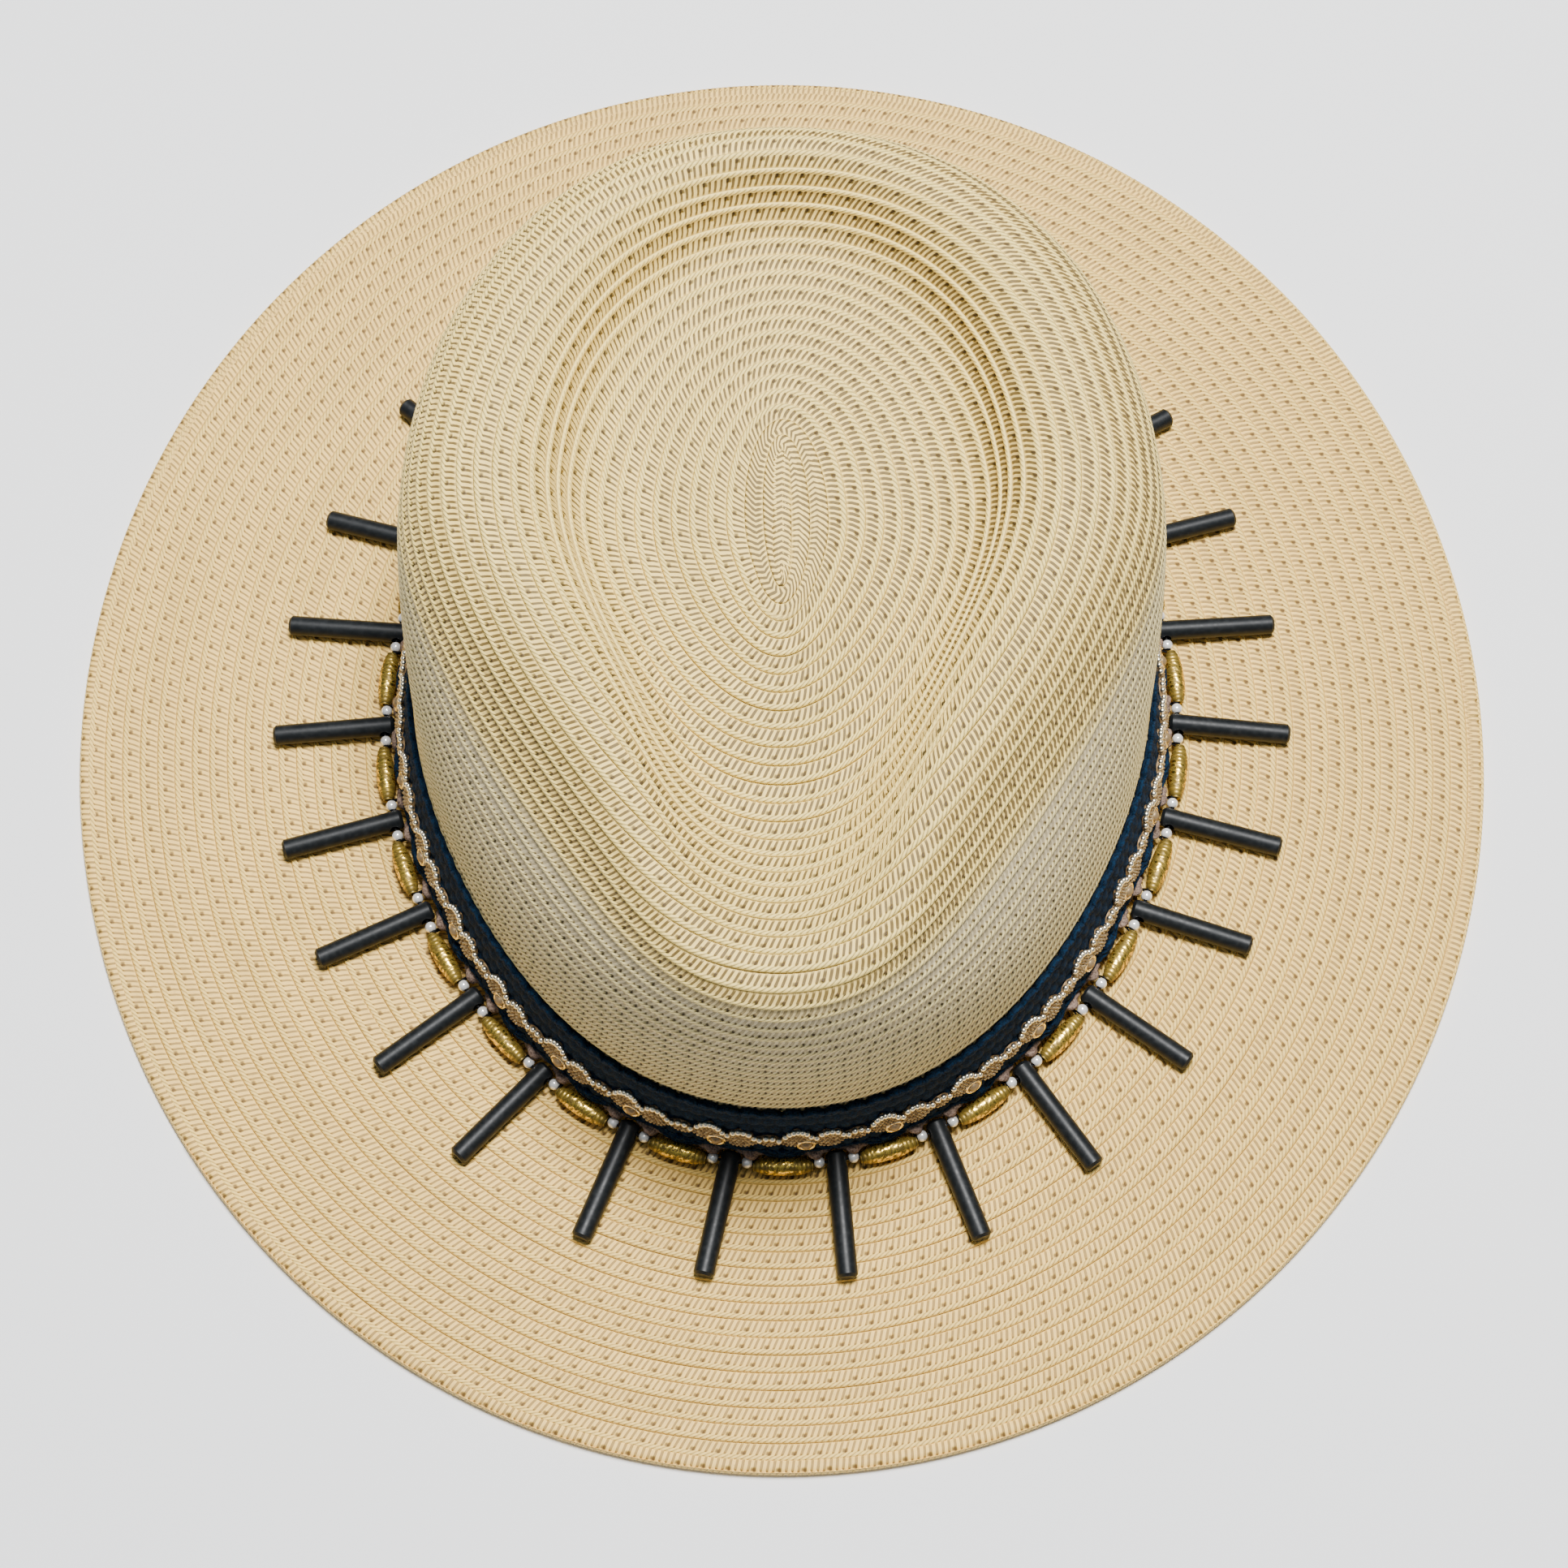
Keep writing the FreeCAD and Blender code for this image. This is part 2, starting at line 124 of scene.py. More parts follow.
def ball(steps):
    """Points and quads of a unit ball made from a cube's six sides."""
    line = np.tan(np.linspace(-1, 1, steps + 1) * math.pi / 4)
    found = {}
    points = []
    quads = []
    for axis in range(3):
        for side in (-1, 1):
            numbers = np.zeros((steps + 1, steps + 1), int)
            for i, u in enumerate(line):
                for j, v in enumerate(line):
                    place = [0.0, 0.0, 0.0]
                    place[axis] = side
                    place[(axis + 1) % 3] = u
                    place[(axis + 2) % 3] = v
                    key = tuple(round(value, 5) for value in place)
                    if key not in found:
                        found[key] = len(points)
                        points.append(place)
                    numbers[i, j] = found[key]
            for i in range(steps):
                for j in range(steps):
                    quad = [numbers[i, j], numbers[i + 1, j], numbers[i + 1, j + 1], numbers[i, j + 1]]
                    quads.append(quad if side > 0 else quad[::-1])
    return unit(np.array(points)), np.array(quads)


def sweep(path, radius, sides=8, closed=False, ply=0.0, lay=4.0):
    """A round cord along a path. ply deepens the grooves of two twisted strands, lay is their pitch."""
    path = np.asarray(path, float)
    count = len(path)
    if closed:
        run = np.roll(path, -1, 0) - np.roll(path, 1, 0)
    else:
        run = np.gradient(path, axis=0)
    tangent = unit(run)
    normal = np.zeros_like(path)
    nearly_upright = abs(tangent[0, 2]) >= 0.9
    guess = np.array([1.0, 0.0, 0.0]) if nearly_upright else np.array([0.0, 0.0, 1.0])
    for i in range(count):
        guess = guess - tangent[i] * guess.dot(tangent[i])
        guess = guess / np.linalg.norm(guess)
        normal[i] = guess
    side = np.cross(tangent, normal)
    along = np.r_[0, np.cumsum(np.linalg.norm(np.diff(path, axis=0), axis=1))]
    if closed:
        whole = along[-1] + np.linalg.norm(path[0] - path[-1])
        lay = whole / max(1, round(whole / lay))
    turn = np.linspace(0, TAU, sides, endpoint=False)
    radii = np.broadcast_to(np.asarray(radius, float), count)[:, None]
    radii = radii * (1 + ply * np.cos(2 * (turn[None] - TAU * along[:, None] / (2 * lay))))
    points = (path[:, None] + normal[:, None] * (radii * np.cos(turn))[..., None]
              + side[:, None] * (radii * np.sin(turn))[..., None])
    quads = grid_quads(count, sides, closed=True)
    if closed:
        ring = np.arange(sides)
        nearest = np.argmin(np.linalg.norm(points[0] - points[-1, 0], axis=1))
        ahead = (ring + nearest) % sides
        last = (count - 1) * sides
        join = np.stack([last + ring, last + (ring + 1) % sides, (ahead + 1) % sides, ahead], -1)
        quads = np.concatenate([quads, join])
    return points.reshape(-1, 3), quads


def turned(profile, sides, relief=None):
    """A profile of (x, radius) turned round X. relief[x, side] is added to the radius."""
    profile = np.asarray(profile, float)
    turn = np.linspace(0, TAU, sides, endpoint=False)
    radius = np.repeat(profile[:, 1:], sides, 1)
    if relief is not None:
        radius = radius + relief
    x = np.repeat(profile[:, :1], sides, 1)
    points = np.stack([x, radius * np.cos(turn), radius * np.sin(turn)], -1)
    return points.reshape(-1, 3), grid_quads(len(profile), sides, closed=True)


def aimed(points, position, direction):
    """Points with their X axis turned to a level direction, then moved."""
    first = unit(np.asarray(direction, float))
    second = unit(np.cross(UPWARD, first))
    third = np.cross(first, second)
    return points @ np.stack([first, second, third]) + np.asarray(position, float)


# ---------------------------------------------------------------- shape of the straw

THICKNESS = 2.0
# The crown's levels, from the brim up. Each has: half width, the y where it is widest, its reach from there
# to the back and to the front, how much the front narrows and the back corners fill, and the z of its
# sides, back and front.
FOOT = (87.0, -2.4, 102.2, 102.2, 0.02, 0.0, 2.0, 2.0, 2.0)
NECK = (82.5, -2.25, 101.75, 101.75, 0.05, 0.0, 30.0, 30.0, 30.0)
FLARE_HEIGHT = 14.0
BRIM_HALF_WIDTH = 163.0
BRIM_HALF_LENGTH = 175.9
CROWN_ROWS = 45
BRIM_ROWS = 19
MOULDED_LEVELS = [
    (82.3, 3.0, 97.2, 107.6, 0.10, 0.01, 55.0, 55.5, 54.0),
    (81.6, 8.0, 92.0, 112.2, 0.21, 0.02, 76.0, 77.0, 71.0),
    (79.5, 12.0, 87.8, 114.5, 0.30, 0.02, 89.0, 90.5, 81.5),
    (74.5, 13.5, 84.4, 113.6, 0.33, 0.02, 97.5, 97.7, 87.5),
    (67.0, 14.0, 80.0, 109.5, 0.33, 0.02, 103.0, 101.2, 90.3),
    (58.5, 14.0, 75.3, 102.0, 0.32, 0.01, 105.0, 102.0, 90.3),
    (50.5, 14.0, 70.5, 90.0, 0.25, 0.0, 102.5, 98.2, 87.8),
    (43.0, 13.0, 64.2, 81.0, 0.22, 0.0, 92.0, 90.5, 85.6),
    (36.0, 12.0, 54.0, 66.0, 0.15, 0.0, 89.5, 88.5, 86.6),
    (20.0, 9.0, 33.0, 44.0, 0.08, 0.0, 91.0, 90.5, 89.8),
    (5.5, 6.0, 19.5, 19.5, 0.0, 0.0, 92.0, 92.0, 92.0),
]
REACHES = (0, 2, 3)
SIDE_Z = 6
NARROWING_TURN = 2.094


def wall_level(height, grow=0.0):
    """The wall's oval between its foot and its neck, made larger all round."""
    part_way = (height - FOOT[SIDE_Z]) / (NECK[SIDE_Z] - FOOT[SIDE_Z])
    level = [low + (high - low) * part_way for low, high in zip(FOOT, NECK)]
    for reach in REACHES:
        level[reach] = level[reach] + grow
    return level


def level_points(level, turn):
    """Points of a level at turns in radians, 0 at +X and a quarter turn at the back."""
    half_width, widest_y, to_back, to_front, narrowing, filling, side_z, back_z, front_z = level
    along = np.sin(turn)
    across = np.cos(turn)
    front = along < 0
    fill = 1 + filling * np.sin(2 * turn) ** 2
    draw = 1 - narrowing * np.sin(NARROWING_TURN * along) ** 2
    x = half_width * across * np.where(front, draw, fill)
    y = widest_y + np.where(front, to_front * along, to_back * along * fill)
    z = side_z * across ** 2 + np.where(front, front_z, back_z) * along ** 2
    return np.stack([x, y, z], -1)


def spline_rows(points, count):
    """Natural cubic splines down the first axis of points[knot, line, 3], cut into evenly spaced rows."""
    knots = len(points)
    chord = np.linalg.norm(np.diff(points, axis=0), axis=2)[..., None]
    slope = np.diff(points, axis=0) / chord
    upper = np.zeros_like(points[:, :, :1])
    right = np.zeros_like(points)
    for i in range(1, knots - 1):
        below = chord[i - 1] * upper[i - 1]
        pivot = 2 * (chord[i - 1] + chord[i]) - below
        upper[i] = chord[i] / pivot
        right[i] = (6 * (slope[i] - slope[i - 1]) - chord[i - 1] * right[i - 1]) / pivot
    bend = np.zeros_like(points)
    for i in range(knots - 2, 0, -1):
        bend[i] = right[i] - upper[i] * bend[i + 1]
    fine = []
    steps = 40
    for i in range(knots - 1):
        for part in np.arange(steps) / steps:
            rest = 1 - part
            curve = ((rest ** 3 - rest) * bend[i] + (part ** 3 - part) * bend[i + 1]) * chord[i] ** 2 / 6
            fine.append(points[i] * rest + points[i + 1] * part + curve)
    fine.append(points[-1])
    fine = np.array(fine)
    run = np.concatenate([np.zeros((1, fine.shape[1])),
                          np.cumsum(np.linalg.norm(np.diff(fine, axis=0), axis=2), axis=0)])
    rows = np.zeros((count, fine.shape[1], 3))
    for line in range(fine.shape[1]):
        at = np.linspace(0, run[-1, line], count)
        for axis in range(3):
            rows[:, line, axis] = np.interp(at, run[:, line], fine[:, line, axis])
    return rows


class Surface:
    """A grid of points, row 0 at the lower or outer edge, read at any turn and any row number."""

    def __init__(self, rows, fineness, inside_out=False):
        self.rows = rows
        self.fineness = fineness
        across = np.roll(rows, -1, 1) - np.roll(rows, 1, 1)
        up = np.gradient(rows, axis=0)
        normals = np.cross(across, up)
        self.normals = unit(-normals if inside_out else normals)

    def at(self, turn, row):
        """The points and the outward directions there."""
        lines = self.rows.shape[1]
        column = np.mod(turn / TAU, 1.0) * lines
        height = np.clip(row * self.fineness, 0, len(self.rows) - 1.001)
        i = np.floor(height).astype(int)
        j = np.floor(column).astype(int) % lines
        k = (j + 1) % lines
        v = (height - i)[..., None]
        u = (column - np.floor(column))[..., None]
        found = []
        for table in (self.rows, self.normals):
            low = table[i, j] * (1 - u) + table[i, k] * u
            high = table[i + 1, j] * (1 - u) + table[i + 1, k] * u
            found.append(low * (1 - v) + high * v)
        return found[0], unit(found[1])


LINES = 720  # points round a row
FINENESS = 8  # steps of a surface in one row of braid
START_ROWS = 1.4  # rows of braid inside the last level
START_MIDDLE = 6.0  # y of the plait that the crown's spiral starts from
START_HALF_LENGTH = 14.5
START_HALF_WIDTH = 0.1
START_HEIGHT = 92.3
WALL_EASE = 0.3  # how far the wall draws in where it leaves its flare
COVER = 0.3  # the lining's surface, out from the straw's inner face
UNDER_HEIGHT = 0.5  # height of the surface under the brim
BRIM_TUCK = 0.6  # how far the brim runs in under the wall

line_turns = np.arange(LINES) * TAU / LINES
between = wall_level(FLARE_HEIGHT, -WALL_EASE)
crown_levels = [FOOT, between, NECK] + MOULDED_LEVELS
crown_rows = spline_rows(np.array([level_points(level, line_turns) for level in crown_levels]),
                         CROWN_ROWS * FINENESS + 1)
last_oval = crown_rows[-1]
first_braid = np.stack([START_HALF_WIDTH * np.cos(line_turns),
                        START_MIDDLE + START_HALF_LENGTH * np.sin(line_turns),
                        START_HEIGHT + 0 * line_turns], -1)
start_count = int(START_ROWS * FINENESS)
start_steps = np.arange(1, start_count + 1) / start_count
start_rows = [last_oval * (1 - part) + first_braid * part for part in start_steps]
crown_surface = Surface(np.concatenate([crown_rows, np.array(start_rows)]), FINENESS)
lining_rows = crown_surface.rows - crown_surface.normals * (THICKNESS - COVER)
lining_surface = Surface(lining_rows, FINENESS, inside_out=True)


def brim_rows(height):
    """Rows of the flat brim from its outline in to the foot of the crown."""
    outline = np.stack([BRIM_HALF_WIDTH * np.cos(line_turns), BRIM_HALF_LENGTH * np.sin(line_turns),
                        0 * line_turns], -1)
    foot = level_points(wall_level(THICKNESS, -BRIM_TUCK), line_turns) * [1, 1, 0]
    parts = np.linspace(0, 1, BRIM_ROWS * FINENESS + 1)[:, None, None]
    return outline * (1 - parts) + foot * parts + [0, 0, height]


brim_surface = Surface(brim_rows(THICKNESS), FINENESS)
under_surface = Surface(brim_rows(UNDER_HEIGHT), FINENESS, inside_out=True)

# ---------------------------------------------------------------- braid

STROKE = 1.35  # one stroke of straw, along its row
STROKE_SLANT = 0.8  # how far a stroke runs along the row in crossing it
STROKE_SPREAD = 0.25  # how unevenly the strokes stand up
ROW_MIDDLE = 0.4
HOLE_BEAT = 4  # strokes from one stitch hole to the next
HOLE_LENGTH = 0.7
HOLE_DEPTH = 0.22
HOLE_PLACE = 0.3  # across the row
HOLE_WIDTH = 0.08
SWELL_STEP = 40  # points of braid from one random swelling to the next
SWELL_HEIGHT = 0.05
SWELL_DRIFT = 0.012  # in rows
CREST = 0.6  # what stands this high doesn't swell
PLAIT_ROW = 43.9  # from this row on, the braid is a flat plait with no cord
PLAIT_BLEND = 0.3  # rows over which it changes
PLAIT_HEIGHT = 0.26
# Across one row of braid: place in rows from its outer edge, height over the surface, and how much a
# stroke of straw stands up there.
PROFILE = [(-0.05, -0.50, 0.0), (-0.10, 0.12, 0.0), (0.02, 0.62, 0.02), (0.17, 0.50, 0.03),
           (0.28, 0.14, 0.10), (0.62, 0.30, 0.15), (1.03, -0.12, 0.05)]
INNER_PROFILE = [(-0.04, -0.2, 0.0), (-0.02, 0.25, 0.0), (0.2, 0.3, 0.0), (0.6, 0.18, 0.0),
                 (1.03, -0.1, 0.0)]


def spiral_turns(surface, first, last, spacing):
    """Row numbers along the spiral from first to last, evenly spaced, and rows gained a millimetre."""
    rough = np.arange(first, last, 1 / 360)
    centres = surface.at(rough * TAU, rough + ROW_MIDDLE)[0]
    run = np.r_[0, np.cumsum(np.linalg.norm(np.diff(centres, axis=0), axis=1))]
    count = int(run[-1] / spacing) // 2 * 2
    at = np.arange(count + 1) * spacing
    return np.interp(at, run, rough), np.interp(at, run, np.gradient(rough, run))


def braid(name, surface, first, last, spacing, profile, material, flip):
    """One length of the spiral braid, laid row over row. With wide spacing it shows no strokes."""
    rows, speed = spiral_turns(surface, first, last, spacing)
    count = len(rows)
    across, level, stand = np.array(profile).T
    shows_strokes = spacing < STROKE
    strokes = np.arange(count) * spacing / STROKE
    knots = np.arange(0, count + SWELL_STEP, SWELL_STEP)
    swell = np.interp(np.arange(count), knots, rng.normal(0, 1, count // SWELL_STEP + 2))[:, None]
    lift = rng.normal(0, STROKE_SPREAD, count)
    ridge = np.cos(TAU * strokes) if shows_strokes else 0 * strokes
    plait = np.clip((rows - PLAIT_ROW) / PLAIT_BLEND + 1, 0, 1)[:, None]
    height = level * (1 - plait) + np.minimum(level, PLAIT_HEIGHT) * plait
    height = height + stand * (ridge * (1 + lift))[:, None]
    height = height + SWELL_HEIGHT * swell * (np.abs(level) < CREST)
    from_hole = (np.mod((strokes - 0.5) / HOLE_BEAT, 1) - 0.5) * HOLE_BEAT * STROKE
    hole = np.exp(-(from_hole / HOLE_LENGTH) ** 2)[:, None]
    height = height - HOLE_DEPTH * hole * np.exp(-((across - HOLE_PLACE) / HOLE_WIDTH) ** 2)
    slant = across * (STROKE_SLANT if shows_strokes else 0)
    turn = (rows[:, None] + speed[:, None] * slant) * TAU
    points, normals = surface.at(turn, rows[:, None] + across + SWELL_DRIFT * swell)
    points = points + normals * height[..., None]
    numbers = np.stack(np.broadcast_arrays(strokes[:, None], across, rows[:, None]), -1)
    return add_mesh(name, points, grid_quads(count, len(across), flip=flip), material,
                    braid=numbers.reshape(-1, 3))


# ---------------------------------------------------------------- materials


class Nodes:
    """Short calls for building one material out of nodes."""

    def __init__(self, name):
        self.material = bpy.data.materials.new(name)
        self.material.use_nodes = True
        self.tree = self.material.node_tree
        self.shader = self.tree.nodes["Principled BSDF"]

    def node(self, kind, settings=None, **inputs):
        """A node with its settings, and its inputs by name, or by number as i0, i1 and so on."""
        made = self.tree.nodes.new(kind)
        for key, value in (settings or {}).items():
            setattr(made, key, value)
        for key, value in inputs.items():
            socket = made.inputs[int(key[1:])] if key[0] == "i" and key[1:].isdigit() else made.inputs[key]
            self.put(socket, value)
        return made

    def put(self, socket, value):
        if isinstance(value, bpy.types.NodeSocket):
            self.tree.links.new(value, socket)
        else:
            socket.default_value = value

    def math(self, operation, first, second=0.0):
        made = self.node("ShaderNodeMath", {"operation": operation}, i0=first, i1=second)
        return made.outputs[0]

    def times(self, first, second):
        return self.math("MULTIPLY", first, second)

    def plus(self, first, second):
        return self.math("ADD", first, second)

    def minus(self, first, second):
        return self.math("SUBTRACT", first, second)

    def ramp(self, value, low, high):
        """A smooth step, 0 on low's side and 1 on high's; low may be the larger."""
        kind = {"interpolation_type": "SMOOTHSTEP"}
        if low < high:
            made = self.node("ShaderNodeMapRange", kind, i0=value, i1=low, i2=high)
        else:
            made = self.node("ShaderNodeMapRange", kind, i0=value, i1=high, i2=low, i3=1.0, i4=0.0)
        return made.outputs[0]

    def mix(self, share, first, second):
        made = self.node("ShaderNodeMix", {"data_type": "RGBA"})
        self.put(made.inputs[0], share)
        self.put(made.inputs[6], first)
        self.put(made.inputs[7], second)
        return made.outputs[2]

    def noise(self, vector, scale, detail=2.0):
        made = self.node("ShaderNodeTexNoise", Vector=vector, Scale=scale, Detail=detail)
        return made.outputs[0]

    def vector(self, x, y, z):
        return self.node("ShaderNodeCombineXYZ", X=x, Y=y, Z=z).outputs[0]

    def attribute(self, name):
        return self.node("ShaderNodeAttribute", {"attribute_name": name})

    def place(self):
        return self.node("ShaderNodeTexCoord").outputs["Object"]

    def bump(self, height, distance, strength):
        made = self.node("ShaderNodeBump", Height=height, Distance=distance, Strength=strength)
        self.put(self.shader.inputs["Normal"], made.outputs[0])

    def set(self, **values):
        for key, value in values.items():
            self.put(self.shader.inputs[key.replace("_", " ")], value)
        return self.material


def linear(red, green, blue):
    """A colour given as 0 to 255 on a screen."""
    def decode(value):
        value = value / 255
        return value / 12.92 if value <= 0.04045 else ((value + 0.055) / 1.055) ** 2.4
    return (decode(red), decode(green), decode(blue), 1.0)


def shaded(colour, share):
    """A colour made darker, or lighter with a share over 1."""
    return tuple(min(value * share, 1) for value in colour[:3]) + (1.0,)


def straw_material(name, straw, deep, pit_colour, stroke_depth, dots, gap_width, shaded_wall_row=-20.0):
    """Braided paper straw: a twisted cord along each row, strokes of straw across it, dark stitch holes.

    Below the row given last, the crown's wall gets painted shade: its straw is mixed toward a greyer, darker
    colour, and the painted shade of its gaps and stitch holes is halved.
    """
    n = Nodes(name)
    split = n.node("ShaderNodeSeparateXYZ", Vector=n.attribute("braid").outputs["Vector"])
    along, across, row = split.outputs
    plait = n.ramp(row, PLAIT_ROW - PLAIT_BLEND, PLAIT_ROW)
    not_plait = n.minus(1.0, plait)
    # painted shade on the crown's wall below the given row; the gaps' and holes' painted shade is halved there
    wall_shade = n.ramp(row, shaded_wall_row + 1.2, shaded_wall_row - 1.2)
    gap_contrast = n.minus(1.0, n.times(wall_shade, 0.5))
    # the cord at the row's outer edge, and the grooves of its twist, darkened as painted shade
    cord = n.times(n.ramp(across, 0.33, 0.22), not_plait)
    lay = n.plus(along, n.times(across, -4.5))
    twist = n.ramp(n.math("COSINE", n.times(lay, TAU)), -0.2, -0.9)
    twist = n.times(twist, n.times(cord, n.ramp(across, -0.06, 0.02)))
    # gaps between the strokes, which lean one way in the braid and are bent in the middle in the plait; they are
    # darkened as painted shade and sunk by the bump
    single = n.noise(n.vector(along, n.times(row, 3.1), 0.0), 1.0, 1.0)
    elbow = n.math("ABSOLUTE", n.minus(across, 0.5))
    lean = n.times(not_plait, n.times(across, -0.55))
    bent = n.plus(along, n.plus(lean, n.times(plait, n.times(elbow, 1.6))))
    wave = n.math("COSINE", n.times(bent, TAU))
    uneven = n.plus(wave, n.times(n.minus(single, 0.5), 1.2))
    gap = n.ramp(uneven, gap_width, gap_width - 0.55)
    gap = n.times(gap, n.times(n.minus(1.0, cord), n.ramp(across, 1.0, 0.74)))
    gap = n.times(gap, gap_contrast)
    # painted shade in the stitch holes beside the cord, in a dot at the foot of each gap, and in the creases
    # between rows
    beat = n.math("FRACT", n.math("DIVIDE", n.minus(along, 0.5), float(HOLE_BEAT)))
    near = n.math("ABSOLUTE", n.minus(beat, 0.5))
    pit = n.times(n.ramp(near, 0.16, 0.04), n.times(n.ramp(across, 0.2, 0.3), n.ramp(across, 0.52, 0.38)))
    pit = n.times(pit, not_plait)
    dot = n.times(n.ramp(n.times(wave, -1.0), 0.2, 0.9),
                  n.times(n.ramp(across, 0.19, 0.25), n.ramp(across, 0.34, 0.28)))
    dot = n.times(dot, not_plait)
    edge = n.math("MAXIMUM", n.ramp(across, -0.055, -0.10), n.ramp(across, 0.86, 0.99))
    # colours, one over another
    strand = n.vector(n.times(along, 0.035), n.times(across, 0.6), row)
    broad = n.noise(strand, 1.0, 3.0)
    fibre = n.noise(n.vector(n.times(along, 5.0), n.times(across, 3.0), row), 1.0, 3.0)
    colour = n.mix(n.ramp(broad, 0.3, 0.75), straw, shaded(straw, 0.86))
    # painted shade: the wall's rows mixed toward a greyer, darker straw
    colour = n.mix(n.times(wall_shade, 0.8), colour, linear(204, 192, 160))
    colour = n.mix(n.times(cord, 0.35), colour, shaded(straw, 1.12))
    # painted shade: the gaps, the twist grooves, the dots and the creases between rows are mixed toward the deep
    # colour
    for mask, share in ((gap, stroke_depth), (twist, 0.5 * stroke_depth), (dot, dots), (edge, 0.62)):
        colour = n.mix(n.times(mask, share), colour, deep)
    # painted shade in the stitch holes, fainter on the wall
    colour = n.mix(n.times(pit, n.times(gap_contrast, 0.85)), colour, pit_colour)
    colour = n.mix(n.times(n.ramp(fibre, 0.55, 0.8), 0.25), colour, deep)
    height = n.minus(n.times(fibre, 0.35), n.math("MAXIMUM", gap, twist))
    height = n.minus(height, n.plus(pit, n.times(dot, 0.5)))
    n.bump(height, 0.0003, 0.7)
    return n.set(Base_Color=colour, Roughness=0.62, Specular_IOR_Level=0.35)


# the deep colour is painted shade in gaps, grooves, dots and creases, and also random fibre streaks; the next
# colour is painted shade in the stitch holes
BRIM_STRAW = straw_material("brim_straw", linear(254, 209, 114), linear(124, 94, 44), linear(92, 66, 32),
                            0.74, 0.9, -0.1)
# the crown's last number is the row below which its wall gets painted shade
CROWN_STRAW = straw_material("crown_straw", linear(255, 220, 126), linear(98, 78, 40), linear(72, 54, 28),
                             0.94, 0.9, 0.1, 21.0)


def cloth_material(name, colour, dark, scale, roughness=0.85):
    """Fuzzy yarn or ribbon; tint 1 is dark, used as painted shade on the crochet ribbon and the sweatband."""
    n = Nodes(name)
    fuzz = n.noise(n.place(), scale, 4.0)
    tint = n.attribute("tint").outputs["Fac"]
    shade = n.mix(n.ramp(fuzz, 0.35, 0.7), colour, dark)
    shade = n.mix(tint, shade, dark)
    n.bump(fuzz, 0.0004, 0.6)
    return n.set(Base_Color=shade, Roughness=roughness, Specular_IOR_Level=0.15)


NAVY = cloth_material("navy_yarn", linear(10, 42, 68), linear(3, 14, 26), 2200.0)
TAUPE = cloth_material("taupe_yarn", linear(152, 128, 112), linear(92, 74, 64), 2500.0)
RIBBON = cloth_material("sweatband_ribbon", linear(216, 200, 172), linear(180, 162, 132), 1500.0, 0.8)
THREAD = cloth_material("black_waxed_thread", linear(22, 22, 24), linear(8, 8, 9), 3000.0, 0.5)


def metal_material(name, colour, dark, roughness, spots=0.0, metallic=1.0, shine=0.5):
    """Polished metal; tint 1 is dark: grooves and patina on the carved beads, random tone on the tiny beads,
    painted shade behind the trim's beads and a painted dark reflection on its studs; spots is how dark its worn
    spots are.
    """
    n = Nodes(name)
    tint = n.attribute("tint").outputs["Fac"]
    grain = n.noise(n.place(), 900.0, 3.0)
    worn = n.times(n.ramp(grain, 0.52, 0.56), spots)
    share = n.math("MAXIMUM", tint, worn)
    n.bump(grain, 0.0002, 0.15)
    rough = n.plus(roughness, n.times(share, 0.3))
    metal = n.minus(metallic, n.times(share, 0.6 * metallic))
    return n.set(Base_Color=n.mix(share, colour, dark), Metallic=metal, Roughness=rough,
                 Specular_IOR_Level=shine)


CHAMPAGNE = metal_material("champagne_gold", linear(248, 226, 180), linear(112, 82, 46), 0.22, 0.1)
GOLD = metal_material("antique_gold", linear(255, 214, 96), linear(6, 4, 2), 0.22, 0.8)
BRIGHT_GOLD = metal_material("bright_gold", linear(255, 246, 222), linear(150, 120, 80), 0.3, shine=0.8)
SILVER = metal_material("polished_silver", linear(255, 253, 248), linear(120, 120, 124), 0.18,
                        metallic=0.45)


def tube_material():
    n = Nodes("satin_black")
    place = n.node("ShaderNodeMapping", Vector=n.place(), Scale=(900.0, 900.0, 900.0)).outputs[0]
    scratch = n.noise(place, 1.0, 4.0)
    n.bump(scratch, 0.0002, 0.12)
    shade = n.mix(n.ramp(scratch, 0.4, 0.8), linear(17, 20, 22), linear(28, 31, 33))
    rough = n.plus(0.32, n.times(scratch, 0.25))
    return n.set(Base_Color=shade, Roughness=rough, Specular_IOR_Level=0.25)


BLACK = tube_material()
CAD_MATERIALS = {"straw": CROWN_STRAW, "sweatband": RIBBON, "navy_braid": NAVY, "gold_trim": CHAMPAGNE,
                 "black_thread": THREAD, "antique_gold": GOLD, "silver_beads": SILVER, "black_tubes": BLACK}
for part in frame["record"]["subparts"]:
    shown = frame["nodes"][part["node"]]
    shown.data.materials.clear()
    shown.data.materials.append(CAD_MATERIALS[part["material_slot"]])

# ---------------------------------------------------------------- straw pieces

SPACING = STROKE / 2
CROWN_FIRST, CROWN_SPLIT, CROWN_LAST = -1.0, 18.0, CROWN_ROWS + START_ROWS - 0.2
BRIM_FIRST, BRIM_SPLIT, BRIM_LAST = -0.4, 8.0, BRIM_ROWS - 0.5
CROWN_LAP, BRIM_LAP = 0.004, 0.003  # rows by which the two lengths of one spiral lap

lower_crown = braid("crown_braid_lower", crown_surface, CROWN_FIRST, CROWN_SPLIT + CROWN_LAP, SPACING,
                    PROFILE, CROWN_STRAW, False)
braid("crown_braid_upper", crown_surface, CROWN_SPLIT, CROWN_LAST, SPACING, PROFILE, CROWN_STRAW, False)
braid("crown_braid_inside", lining_surface, CROWN_FIRST, CROWN_LAST, 2 * STROKE, INNER_PROFILE,
      CROWN_STRAW, True)
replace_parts(lower_crown, "straw_crown")


